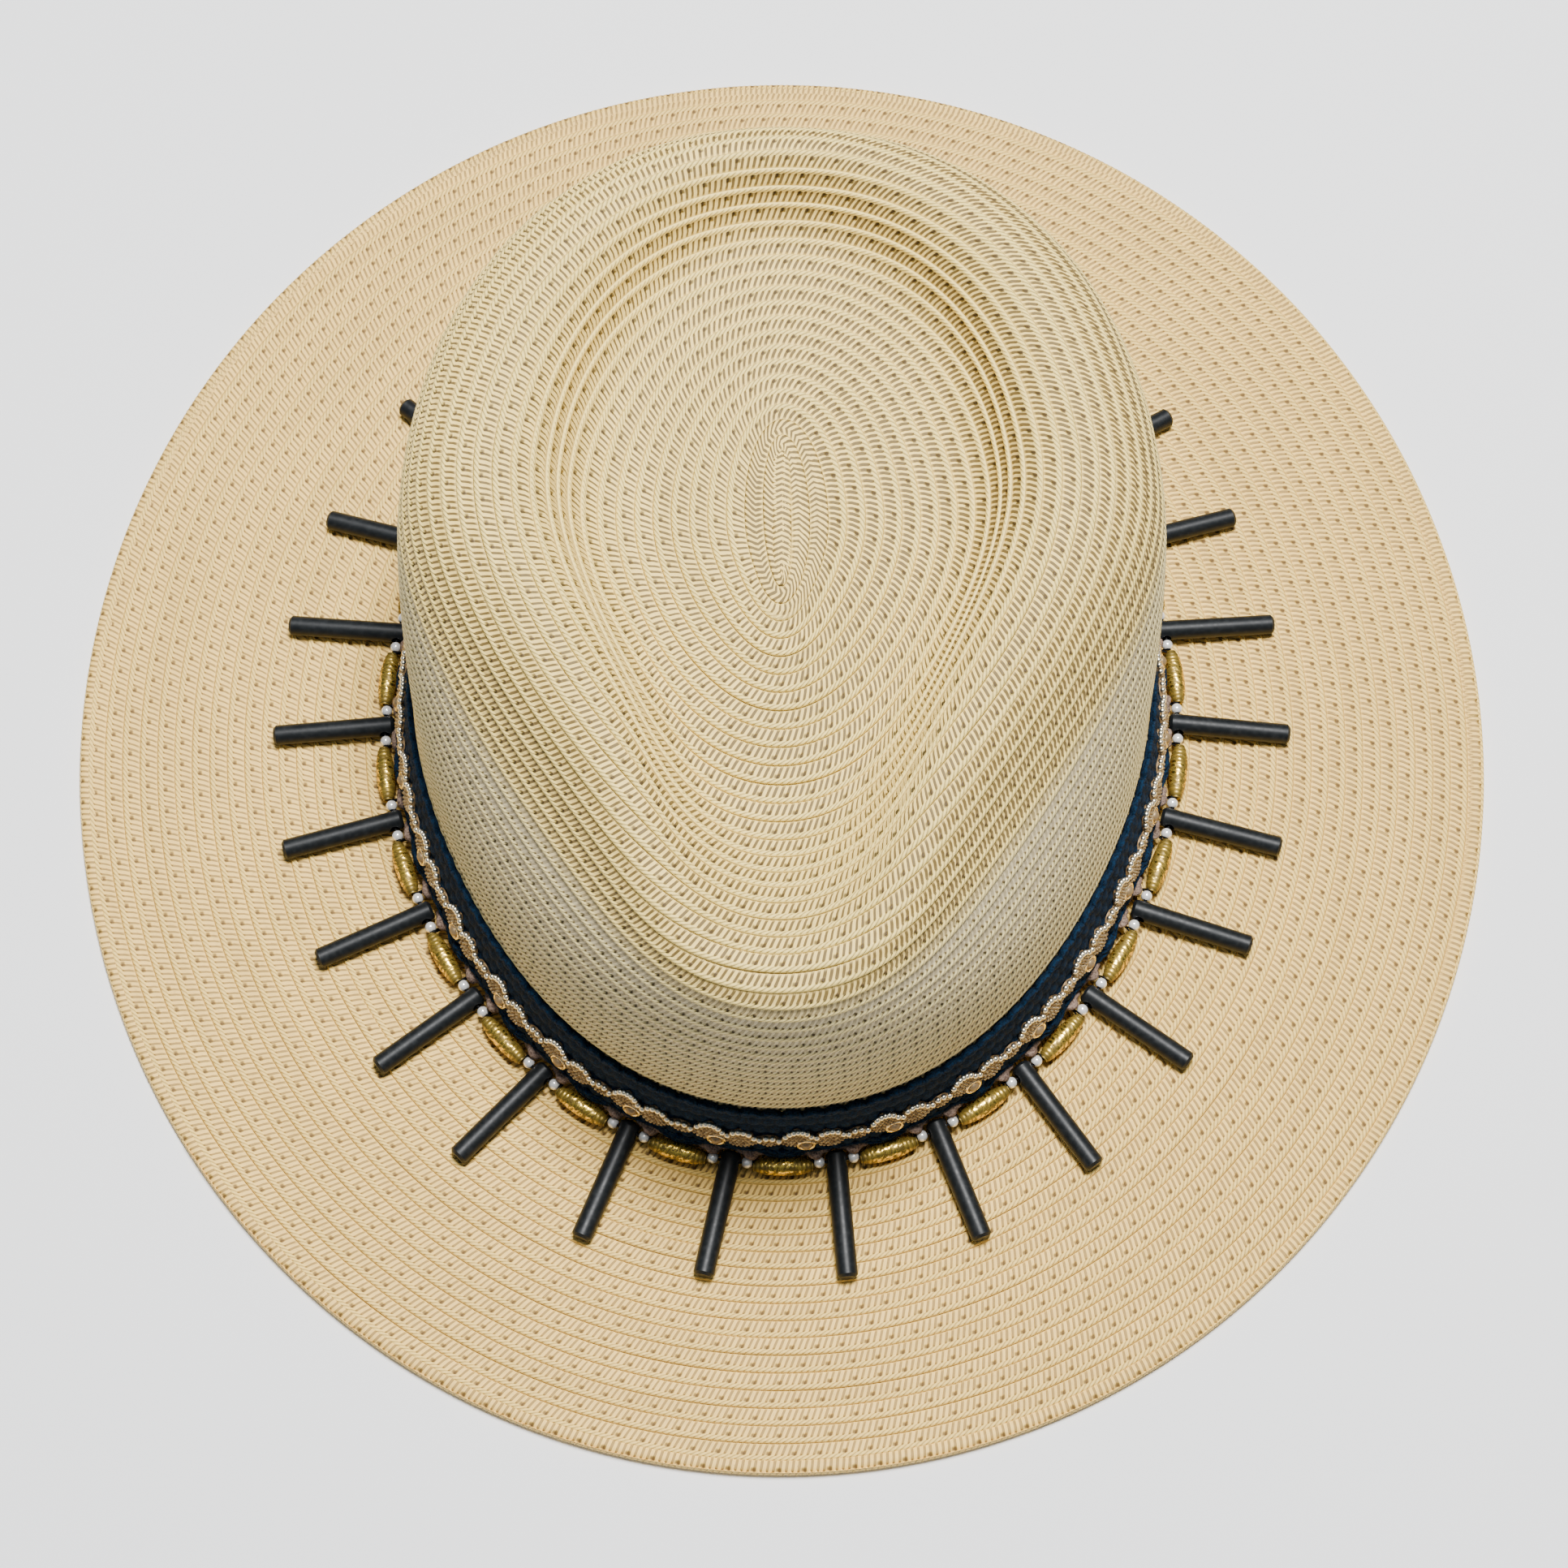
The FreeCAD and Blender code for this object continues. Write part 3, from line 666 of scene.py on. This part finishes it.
def crown_start():
    """The plait that the crown's spiral starts from: bent strokes of straw over the middle seam."""
    half_length = 16.5
    y = np.arange(START_MIDDLE - half_length, START_MIDDLE + half_length, SPACING / 2)[:, None]
    across = np.linspace(-1, 1, 13)[None]
    taper = np.clip(1 - np.abs((y - START_MIDDLE) / half_length) ** 6, 0, 1)
    strokes = y / STROKE + 0.8 * np.abs(across)
    height = 91.9 + taper * (0.75 - 0.5 * across ** 4 + 0.12 * np.cos(TAU * strokes))
    half_width = 2.1 * (0.35 + 0.65 * taper)
    points = np.stack([across * half_width, y + 0 * across, height], -1)
    numbers = np.stack([y / STROKE + 0 * across, 0.5 + 0.42 * across + 0 * y,
                        PLAIT_ROW + 1 + 0 * strokes], -1)
    add_mesh("crown_start_plait", points, grid_quads(len(y), across.size, flip=True), CROWN_STRAW,
             braid=numbers.reshape(-1, 3))


crown_start()
outer_brim = braid("brim_braid_outer", brim_surface, BRIM_FIRST, BRIM_SPLIT + BRIM_LAP, SPACING, PROFILE,
                   BRIM_STRAW, False)
braid("brim_braid_inner", brim_surface, BRIM_SPLIT, BRIM_LAST, SPACING, PROFILE, BRIM_STRAW, False)
braid("brim_braid_under", under_surface, BRIM_FIRST, BRIM_LAST, 2 * STROKE, INNER_PROFILE, BRIM_STRAW, True)
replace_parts(outer_brim, "straw_brim")


def brim_edge():
    """The last row of braid, folded over the brim's outline."""
    fine = np.linspace(0, TAU, 7200)
    ring = np.stack([BRIM_HALF_WIDTH * np.cos(fine), BRIM_HALF_LENGTH * np.sin(fine)], -1)
    run = np.r_[0, np.cumsum(np.linalg.norm(np.diff(ring, axis=0), axis=1))]
    count = int(run[-1] / SPACING) // 2 * 2
    turn = np.interp(np.arange(count) * run[-1] / count, run, fine)
    x, y = BRIM_HALF_WIDTH * np.cos(turn), BRIM_HALF_LENGTH * np.sin(turn)
    outward = unit(np.stack([np.cos(turn) / BRIM_HALF_WIDTH, np.sin(turn) / BRIM_HALF_LENGTH], -1))
    # Across the fold: inward distance, height, how much strokes stand up, place across a braid row.
    fold = [(3.4, 1.9, 0.0, 0.95), (2.7, 2.35, 0.08, 0.8), (1.6, 2.62, 0.12, 0.6), (0.7, 2.55, 0.1, 0.4),
            (0.1, 2.15, 0.04, 0.2), (-0.25, 1.3, 0.03, 0.1), (0.0, 0.5, 0.03, 0.1), (0.7, 0.12, 0.05, 0.4),
            (2.2, 0.1, 0.05, 0.7), (3.4, 0.35, 0.0, 0.9)]
    strokes = np.arange(count) / 2
    ridge = np.cos(TAU * strokes) * (1 + rng.normal(0, STROKE_SPREAD, count))
    points = []
    numbers = []
    for inward, height, stand, across in fold:
        inset = inward - stand * ridge
        over_the_brim = height > 1.5
        rise = height + stand * ridge * (0.8 if over_the_brim else -0.3)
        points.append(np.stack([x - outward[:, 0] * inset, y - outward[:, 1] * inset, rise], -1))
        numbers.append(np.stack([strokes, np.full(count, across), np.full(count, 0.3)], -1))
    quads = grid_quads(len(fold), count, closed=True)
    add_mesh("brim_edge_fold", np.array(points), quads[:, ::-1], BRIM_STRAW,
             braid=np.array(numbers).reshape(-1, 3))


brim_edge()

# ---------------------------------------------------------------- rings on the wall


MEASURED_AT = 15.5  # height at which lengths round the wall are measured
STRING_HEIGHT = 5.0
STRING_OUT = 5.0  # the bead string, out from the wall


class Wall:
    """Places on the wall: millimetres round it from the front, height, and distance out from the straw."""

    def __init__(self, height):
        self.fine = np.linspace(-math.pi / 2, 1.5 * math.pi, 3601)
        ring = level_points(wall_level(height), self.fine)
        self.run = np.r_[0, np.cumsum(np.linalg.norm(np.diff(ring, axis=0), axis=1))]
        self.length = self.run[-1]

    def turn(self, around):
        return np.interp(np.mod(around, self.length), self.run, self.fine)

    def nearest(self, point):
        """How far round the wall a point on the bead string is."""
        ring = level_points(wall_level(STRING_HEIGHT, STRING_OUT), self.fine)
        return self.run[np.argmin(np.linalg.norm((ring - np.asarray(point))[:, :2], axis=1))]

    def at(self, around, height, out):
        around, height, out = np.broadcast_arrays(np.asarray(around, float), height, out)
        return level_points(wall_level(height, out), self.turn(around))


wall = Wall(MEASURED_AT)
joint_places = {joint["child"]: np.array(joint["pos_m"]) / MM for joint in frame["joints"]}
corners = np.array([joint_places[tube] for tube in sorted(joint_places)])
tube_around = np.array([wall.nearest(corner) for corner in corners])
bead_around = np.array([wall.nearest(middle) for middle in (corners + np.roll(corners, -1, 0)) / 2])


SKIRT_TOP = 21.0
SKIRT_DROP = 12.0
SKIRT_OUT = 1.25
BAND_LOW = 9.0
BAND_TOP = 28.7
BAND_BACK = 0.45  # the band's inner face, out from the straw
BAND_FRONT = 1.1
SCALLOPS = 126
SCALLOP_RISE = 1.6
COURSE = 4.4  # height of one row of crochet
LUMP = 0.9


def skirt(height):
    """How much further out the band's lower part stands."""
    part = np.clip((SKIRT_TOP - height) / SKIRT_DROP, 0, 1)
    return SKIRT_OUT * part * part * (3 - 2 * part)


def scallop_wave(around):
    return np.abs(np.sin(math.pi * SCALLOPS * around / wall.length))


def make_band():
    """The crocheted ribbon: lumpy rows of yarn with a scalloped upper edge."""
    columns = 1440
    rows = 34
    around = np.arange(columns) * wall.length / columns
    part = np.linspace(0, 1, rows)[:, None]
    top = BAND_TOP + SCALLOP_RISE * scallop_wave(around) ** 0.7
    height = BAND_LOW + (top[None] - BAND_LOW) * part
    level = height / COURSE
    stagger = np.floor(level) % 2 * 0.5
    stitch = SCALLOPS * around[None] / wall.length * 1.5 + stagger
    lump = np.abs(np.sin(math.pi * level)) ** 0.6 * np.abs(np.sin(math.pi * stitch)) ** 0.5
    edge = np.clip((1 - part) * 14, 0, 1) * np.clip(part * 14, 0, 1)
    front = wall.at(around[None], height, BAND_FRONT + skirt(height) + LUMP * lump * edge)
    back = wall.at(around[None], height[::-1], BAND_BACK)
    points = np.concatenate([front, back])
    # painted shade: the front darker in the hollows between lumps, and the back face against the straw fully dark
    tint = np.concatenate([0.55 * (1 - lump), np.ones_like(lump)])
    quads = grid_quads(2 * rows, columns, closed=True)
    last = (2 * rows - 1) * columns
    ring = np.arange(columns)
    closing = np.stack([last + ring, last + (ring + 1) % columns, (ring + 1) % columns, ring], -1)
    band = add_mesh("crochet_ribbon", points, np.concatenate([quads, closing]), NAVY,
                    tint=tint)
    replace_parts(band, "crochet_band")


def make_loops():
    """Crochet loops along the band's upper and lower edge, and hanging ones at the tubes and the beads."""
    pile = Pile()
    around = np.linspace(0, wall.length, 2600, endpoint=False)
    wave = scallop_wave(around)
    edging = dict(sides=6, closed=True, ply=0.18, lay=2.2)
    pile.add(*sweep(wall.at(around, 28.4 + SCALLOP_RISE * wave ** 0.7, 1.55), 0.48, **edging))
    pile.add(*sweep(wall.at(around, 9.5 - 0.4 * wave, 2.7), 0.5, **edging))
    root = 10.2
    root_out = 2.3
    swing = np.linspace(0, math.pi, 22)
    for tube, bead in zip(tube_around, bead_around):
        for centre, half_width, low, reach in ((tube, 2.6, 8.9, 2.5), (bead, 5.6, 7.6, 3.3)):
            for shrink in (1.0, 0.62, 0.28):
                side = centre - half_width * shrink * np.cos(swing)
                drop = root - (root - low) * shrink * np.sin(swing) ** 0.8
                path = wall.at(side, drop, root_out + (reach - root_out) * np.sin(swing) ** 2)
                pile.add(*sweep(path, 0.62, sides=6, ply=0.2, lay=2.4))
    pile.build("crochet_loops", NAVY)


def make_taupe():
    """The twisted taupe cord that winds behind the loops, and swells out each side of a tube."""
    around = np.linspace(0, wall.length, 2400, endpoint=False)
    apart = np.abs(np.mod(around[:, None] - tube_around[None] + wall.length / 2, wall.length)
                   - wall.length / 2).min(1)
    beside_tube = 4.2
    spread = 2.2
    lift = np.exp(-((apart - beside_tube) / spread) ** 2)
    path = wall.at(around, 6.6 + 0.8 * lift, 1.5 + 1.5 * lift)
    pile = Pile()
    pile.add(*sweep(path, 0.8 + 0.5 * lift, sides=10, closed=True, ply=0.28, lay=3.0))
    pile.build("taupe_cord", TAUPE)


# ---------------------------------------------------------------- gold trim

UNITS = 31
TRIM_HEIGHT = 15.4
TRIM_OUT = 1.2  # the trim's back, out from the straw
BEADS_OUT = 2.35
RIM_OUT = 2.45
RING_HEIGHT = 13.9
RING_RADIUS = 1.75
STUD_RADIUS = 1.4
STUD_OUT = 2.1
RIM_BEAD = 0.72
TINY_BEAD = 0.43
TINY_STEP = 0.041  # in repeats
TINY_RISE = 0.82


def bulge(place, first, width, power):
    """Rises from 0 to 1 and falls again over a width of one repeat."""
    return np.clip(np.sin(math.pi * np.clip((place - first) / width, 0, 1)), 0, 1) ** power


def trim_outline(place):
    """Lower and upper edge of the trim at places from 0 to 1 along one repeat."""
    plate = bulge(place, 0, 0.36, 0.55)
    second = bulge(place, 0.37, 0.34, 0.5)
    link = bulge(place, 0.72, 0.28, 0.6)
    upper = TRIM_HEIGHT + np.maximum.reduce([5.2 * plate, 3.8 * second, 1.9 * link, 1.0 + 0 * place])
    lower = TRIM_HEIGHT - np.maximum.reduce([2.0 * plate, 2.9 * second, 1.7 * link, 0.9 + 0 * place])
    return lower, upper


def trim_backing(pile):
    """The thin plate behind the beads, tinted dark as painted shade between them."""
    columns = UNITS * 48
    around = np.arange(columns) * wall.length / columns
    lower, upper = trim_outline(np.mod(around / wall.length * UNITS, 1))
    across = [(0.0, 0.5), (0.04, 1.1), (0.5, 1.2), (0.96, 1.1), (1.0, 0.5), (1.0, 0.35), (0.0, 0.35)]
    rows = []
    for part, proud in across:
        height = lower + (upper - lower) * part
        rows.append(wall.at(around, height, TRIM_OUT + skirt(height) + proud))
    # tint 0.9: painted shade behind the beads
    pile.add(np.concatenate(rows), grid_quads(len(across), columns, closed=True), 0.9)


def tiny_beads(pile, start, length):
    """Rows of tiny beads packed on one repeat of the trim, each a little off its place."""
    points, quads = ball(2)
    for place in np.arange(0.02, 0.99, TINY_STEP):
        low, high = trim_outline(place)
        count = max(1, int((high - low) / TINY_RISE))
        for step in range(count):
            height = low + (high - low) * (step + 0.5) / count
            jitter = rng.normal(0, 0.05, 2)
            spot = wall.at(start + place * length + jitter[0] + 0.3 * (step % 2),
                           height + jitter[1], BEADS_OUT + skirt(height))
            size = TINY_BEAD + 0.03 * rng.normal()
            pile.add(points * size + spot, quads, 0.45 + 0.4 * rng.random())


def rim_beads(pile, start, length):
    """Brighter beads along the upper edge of each plate: first place, last place, how many."""
    points, quads = ball(3)
    for first, last, count in [(0.04, 0.33, 7), (0.39, 0.69, 6), (0.75, 0.97, 4)]:
        for place in np.linspace(first, last, count):
            high = trim_outline(place)[1]
            spot = wall.at(start + place * length, high - 0.2, RIM_OUT + skirt(high))
            pile.add(points * RIM_BEAD + spot, quads, 0.0)


def ring_and_stud(pile, middle):
    """A wire ring with a half ball in it; the ball is tinted dark as a painted dark reflection."""
    swing = np.linspace(0, TAU, 24, endpoint=False)
    height = RING_HEIGHT + RING_RADIUS * np.sin(swing)
    ring = wall.at(middle + RING_RADIUS * np.cos(swing), height, BEADS_OUT + skirt(height))
    pile.add(*sweep(ring, 0.42, closed=True), 0.0)
    points, quads = ball(6)
    points = points * STUD_RADIUS
    outward = unit(wall.at(middle, RING_HEIGHT, 5.0) - wall.at(middle, RING_HEIGHT, 0.0))
    half_ball = points - outward * np.minimum(0, points @ outward)[:, None]
    # tint 0.8: painted dark reflection on the stud
    pile.add(half_ball + wall.at(middle, RING_HEIGHT, STUD_OUT + skirt(RING_HEIGHT)), quads, 0.8)


def make_trim():
    """Scroll trim: a thin plate with packed tiny beads, larger bright beads along its upper edge, rings."""
    backing = Pile()
    beads = Pile()
    rim = Pile()
    trim_backing(backing)
    length = wall.length / UNITS
    for number in range(UNITS):
        start = number * length
        tiny_beads(beads, start, length)
        rim_beads(rim, start, length)
        ring_and_stud(backing, start + 0.27 * length)
    trim = backing.build("scroll_plates", CHAMPAGNE)
    beads.build("scroll_tiny_beads", CHAMPAGNE)
    rim.build("scroll_rim_beads", BRIGHT_GOLD)
    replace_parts(trim, "scroll_trim", "trim_studs")


# ---------------------------------------------------------------- bead string

BEAD_LENGTH = 13.2
BEAD_RADIUS = 2.2
BEAD_INWARD = 0.7  # the beads hang this far in from the straight way between two tubes, and a little lower
BEAD_LOWER = 0.4
CUT_DEPTH = 0.16
BALL_RADIUS = 1.28
BALL_END = (1.02, 0.42)
BALL_PLACE = 3.85  # along the thread from a tube's middle
TIE_PLACE = 5.15
TIE_RADIUS = 0.22
TIE_LOOP = 0.52  # radius of a tie's loop round the thread
TIE_ROOT = 2.6  # how far in a tie's loop starts
THREAD_RADIUS = 0.28


def carved_bead():
    """A long bead with ring grooves toward its ends and slanted cuts round its belly."""
    steps = 72
    sides = 36
    end = BEAD_LENGTH / 2
    x = np.linspace(-end, end, steps)[:, None]
    reach = np.abs(x) / end
    radius = BEAD_RADIUS * np.sqrt(np.clip(1 - 0.78 * reach ** 2.1, 0, 1))
    turn = np.linspace(0, TAU, sides, endpoint=False)
    rings = np.exp(-((np.mod(x / 0.95, 1) - 0.5) / 0.15) ** 2) * np.where(reach > 0.5, 1.0, 0.3)
    cuts = np.exp(-((np.mod(x / 1.5 + turn * 5 / TAU, 1) - 0.5) / 0.15) ** 2)
    cuts = cuts * (reach < 0.62) * (np.sin(turn * 5 + 1.3 * x) > -0.2)
    groove = np.clip(np.maximum(rings, cuts), 0, 1)
    profile = np.concatenate([x, radius], 1)
    points, quads = turned(profile, sides, -CUT_DEPTH * groove * np.clip(radius / 1.5, 0, 1))
    patina = 0.7 * np.clip((reach - 0.5) / 0.35, 0, 1)
    pile = Pile()
    pile.add(points, quads, np.clip(np.maximum(groove * 1.1, patina), 0, 1).ravel())
    bore = 0.5
    for edge, side in ((profile[-1], 1), (profile[0], -1)):
        cap, cap_quads = turned([tuple(edge), (side * (end - 0.1), bore)], sides)
        pile.add(cap, cap_quads[:, ::side], 0.6)
    return pile.joined()


def silver_ball():
    """A small ball with a flat, drilled end each side."""
    arc = np.radians(np.linspace(155, 25, 15))
    end, bore = BALL_END
    profile = [(BALL_RADIUS * math.cos(a), BALL_RADIUS * math.sin(a)) for a in arc]
    return turned([(-end, bore)] + profile + [(end, bore)], 24)


def tie_path(foot, inward, direction):
    """In from the band, once round the thread, and back to the band."""
    swing = np.linspace(-0.75 * math.pi, 0.9 * math.pi, 26)
    tilt = 0.3
    path = [foot + inward * (TIE_ROOT + 0.15 * k) + [0, 0, 0.9] for k in (2.0, 1.0)]
    for k, a in enumerate(swing):
        rise = np.array([0, 0, TIE_LOOP * math.sin(a + tilt)])
        drift = direction * 0.09 * (k - 13) / 4
        path.append(foot - inward * TIE_LOOP * math.cos(a + tilt) + rise + drift)
    path += [foot + inward * (TIE_ROOT + 0.15 * k) + [0, 0, -0.5] for k in (0.5, 1.5)]
    return np.array(path)


def make_string():
    """Carved beads, silver balls, the thread they hang on and the loops that hold it to the band."""
    bead, bead_quads, bead_tint = carved_bead()
    ball_shape, ball_quads = silver_ball()
    gold = Pile()
    silver = Pile()
    ties = Pile()
    path = []
    for start, end in zip(corners, np.roll(corners, -1, 0)):
        run = end - start
        length = np.linalg.norm(run)
        direction = run / length
        spin = rng.uniform(0, TAU)
        cosine, sine = math.cos(spin), math.sin(spin)
        rolled = bead @ np.array([[1, 0, 0], [0, cosine, sine], [0, -sine, cosine]])
        inward = np.cross(UPWARD, direction)
        bead_shift = inward * BEAD_INWARD + [0, 0, BEAD_LOWER]
        gold.add(aimed(rolled, start + run / 2 - bead_shift, direction), bead_quads, bead_tint)
        for distance in (BALL_PLACE, length - BALL_PLACE):
            silver.add(aimed(ball_shape, start + direction * distance, direction), ball_quads)
        for part in np.linspace(0, 1, 24, endpoint=False):
            bow = np.clip(math.sin(math.pi * part) * 1.6 - 0.6, 0, 1)
            path.append(start + run * part - bead_shift * bow)
        for distance in (TIE_PLACE, length - TIE_PLACE):
            tie = tie_path(start + direction * distance, inward, direction)
            ties.add(*sweep(tie, TIE_RADIUS, sides=6))
    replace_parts(gold.build("carved_beads", GOLD), "spindle_beads")
    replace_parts(silver.build("silver_balls", SILVER), "spacer_beads")
    cord = Pile()
    cord.add(*sweep(np.array(path), THREAD_RADIUS, sides=6, closed=True, ply=0.2, lay=1.4))
    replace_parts(cord.build("string_thread", THREAD), "bead_thread")
    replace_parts(ties.build("thread_loops", THREAD), "tie_threads")


RIBS = 500
RIB_DEPTH = 0.12
SWEAT_BACK = -3.3  # the sweatband's two faces and its sewn grooves, out from the straw's outside
SWEAT_FACE = -4.0
SWEAT_GROOVE = -3.85


def make_sweatband():
    """A ribbed ribbon inside the foot of the crown."""
    columns = RIBS * 2
    around = np.arange(columns) * wall.length / columns
    ridge = np.arange(columns) % 2
    profile = [(1.0, SWEAT_BACK, 0), (1.2, SWEAT_FACE, 0), (2.6, SWEAT_FACE, 1), (3.4, SWEAT_GROOVE, 1)]
    profile += [(height, SWEAT_FACE, 1) for height in (4.2, 12, 20, 25.8)]
    profile += [(26.6, SWEAT_GROOVE, 1), (27.4, SWEAT_FACE, 1), (28.8, SWEAT_FACE, 0),
                (29.0, SWEAT_BACK, 0)]
    rows = []
    tint = []
    for height, out, ribbed in profile:
        rows.append(wall.at(around, height, out - RIB_DEPTH * ridge * ribbed))
        # painted shade: darker in the sewn grooves and in the hollows between ribs
        tint.append((0.8 if out == SWEAT_GROOVE else 0.25) * (1 - 0.6 * ridge))
    ribbon = add_mesh("ribbed_sweatband", np.concatenate(rows), grid_quads(len(rows), columns, True, True),
                      RIBBON, tint=np.concatenate(tint))
    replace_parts(ribbon, "sweatband")


make_band()
make_loops()
make_taupe()
make_trim()
make_string()
make_sweatband()

# ---------------------------------------------------------------- room, light and camera

FLOOR_HALF = 4.0
DAYLIGHT = (0.72, 0.86, 1.0, 1.0)
# The world is brighter overhead than at the sides: heights of the fade, and strengths at both its ends.
SKY_FADE = {"From Min": 0.45, "From Max": 1.0, "To Min": 0.1, "To Max": 0.3}

floor_mesh = bpy.data.meshes.new("floor")
floor_corners = [(FLOOR_HALF * x, FLOOR_HALF * y, 0) for x, y in ((-1, -1), (1, -1), (1, 1), (-1, 1))]
floor_mesh.from_pydata(floor_corners, [], [(0, 1, 2, 3)])
floor = bpy.data.objects.new("floor", floor_mesh)
bpy.context.scene.collection.objects.link(floor)
paper = Nodes("pale_floor")
floor_mesh.materials.append(paper.set(Base_Color=linear(246, 246, 246), Roughness=0.9))

world = bpy.data.worlds.new("studio")
bpy.context.scene.world = world
world.use_nodes = True
sky = world.node_tree
coordinate = sky.nodes.new("ShaderNodeTexCoord")
view_direction = sky.nodes.new("ShaderNodeSeparateXYZ")
fade = sky.nodes.new("ShaderNodeMapRange")
fade.interpolation_type = "SMOOTHSTEP"
for name, value in SKY_FADE.items():
    fade.inputs[name].default_value = value
sky.links.new(coordinate.outputs["Generated"], view_direction.inputs["Vector"])
sky.links.new(view_direction.outputs["Z"], fade.inputs["Value"])
sky.links.new(fade.outputs["Result"], sky.nodes["Background"].inputs["Strength"])
sky.nodes["Background"].inputs["Color"].default_value = DAYLIGHT


def soft_light(name, position, aim, width, power):
    """A round lamp that looks at a point."""
    lamp = bpy.data.lights.new(name, "AREA")
    lamp.shape = "DISK"
    lamp.size = width
    lamp.energy = power
    stand = bpy.data.objects.new(name, lamp)
    stand.location = position
    stand.rotation_euler = (Vector(aim) - Vector(position)).to_track_quat("-Z", "Y").to_euler()
    bpy.context.scene.collection.objects.link(stand)


HAT_MIDDLE = (0, 0, 0.05)
soft_light("key_light", (0.12, 0.22, 1.5), HAT_MIDDLE, width=0.5, power=58.0)
soft_light("fill_light", (-0.5, -0.3, 1.3), HAT_MIDDLE, width=0.25, power=0.6)

camera = bpy.data.cameras.new("camera")
camera.sensor_width = 36.0
camera.lens = 76.58
camera.shift_x = 0.0014
camera.shift_y = -0.0415
camera.clip_start = 0.01
stand = bpy.data.objects.new("camera", camera)
distance = 0.78
elevation = math.radians(66.0)
stand.location = (0.0, -distance * math.cos(elevation), distance * math.sin(elevation))
stand.rotation_euler = (math.radians(90.0) - elevation, 0.0, 0.0)
bpy.context.scene.collection.objects.link(stand)
bpy.context.scene.camera = stand
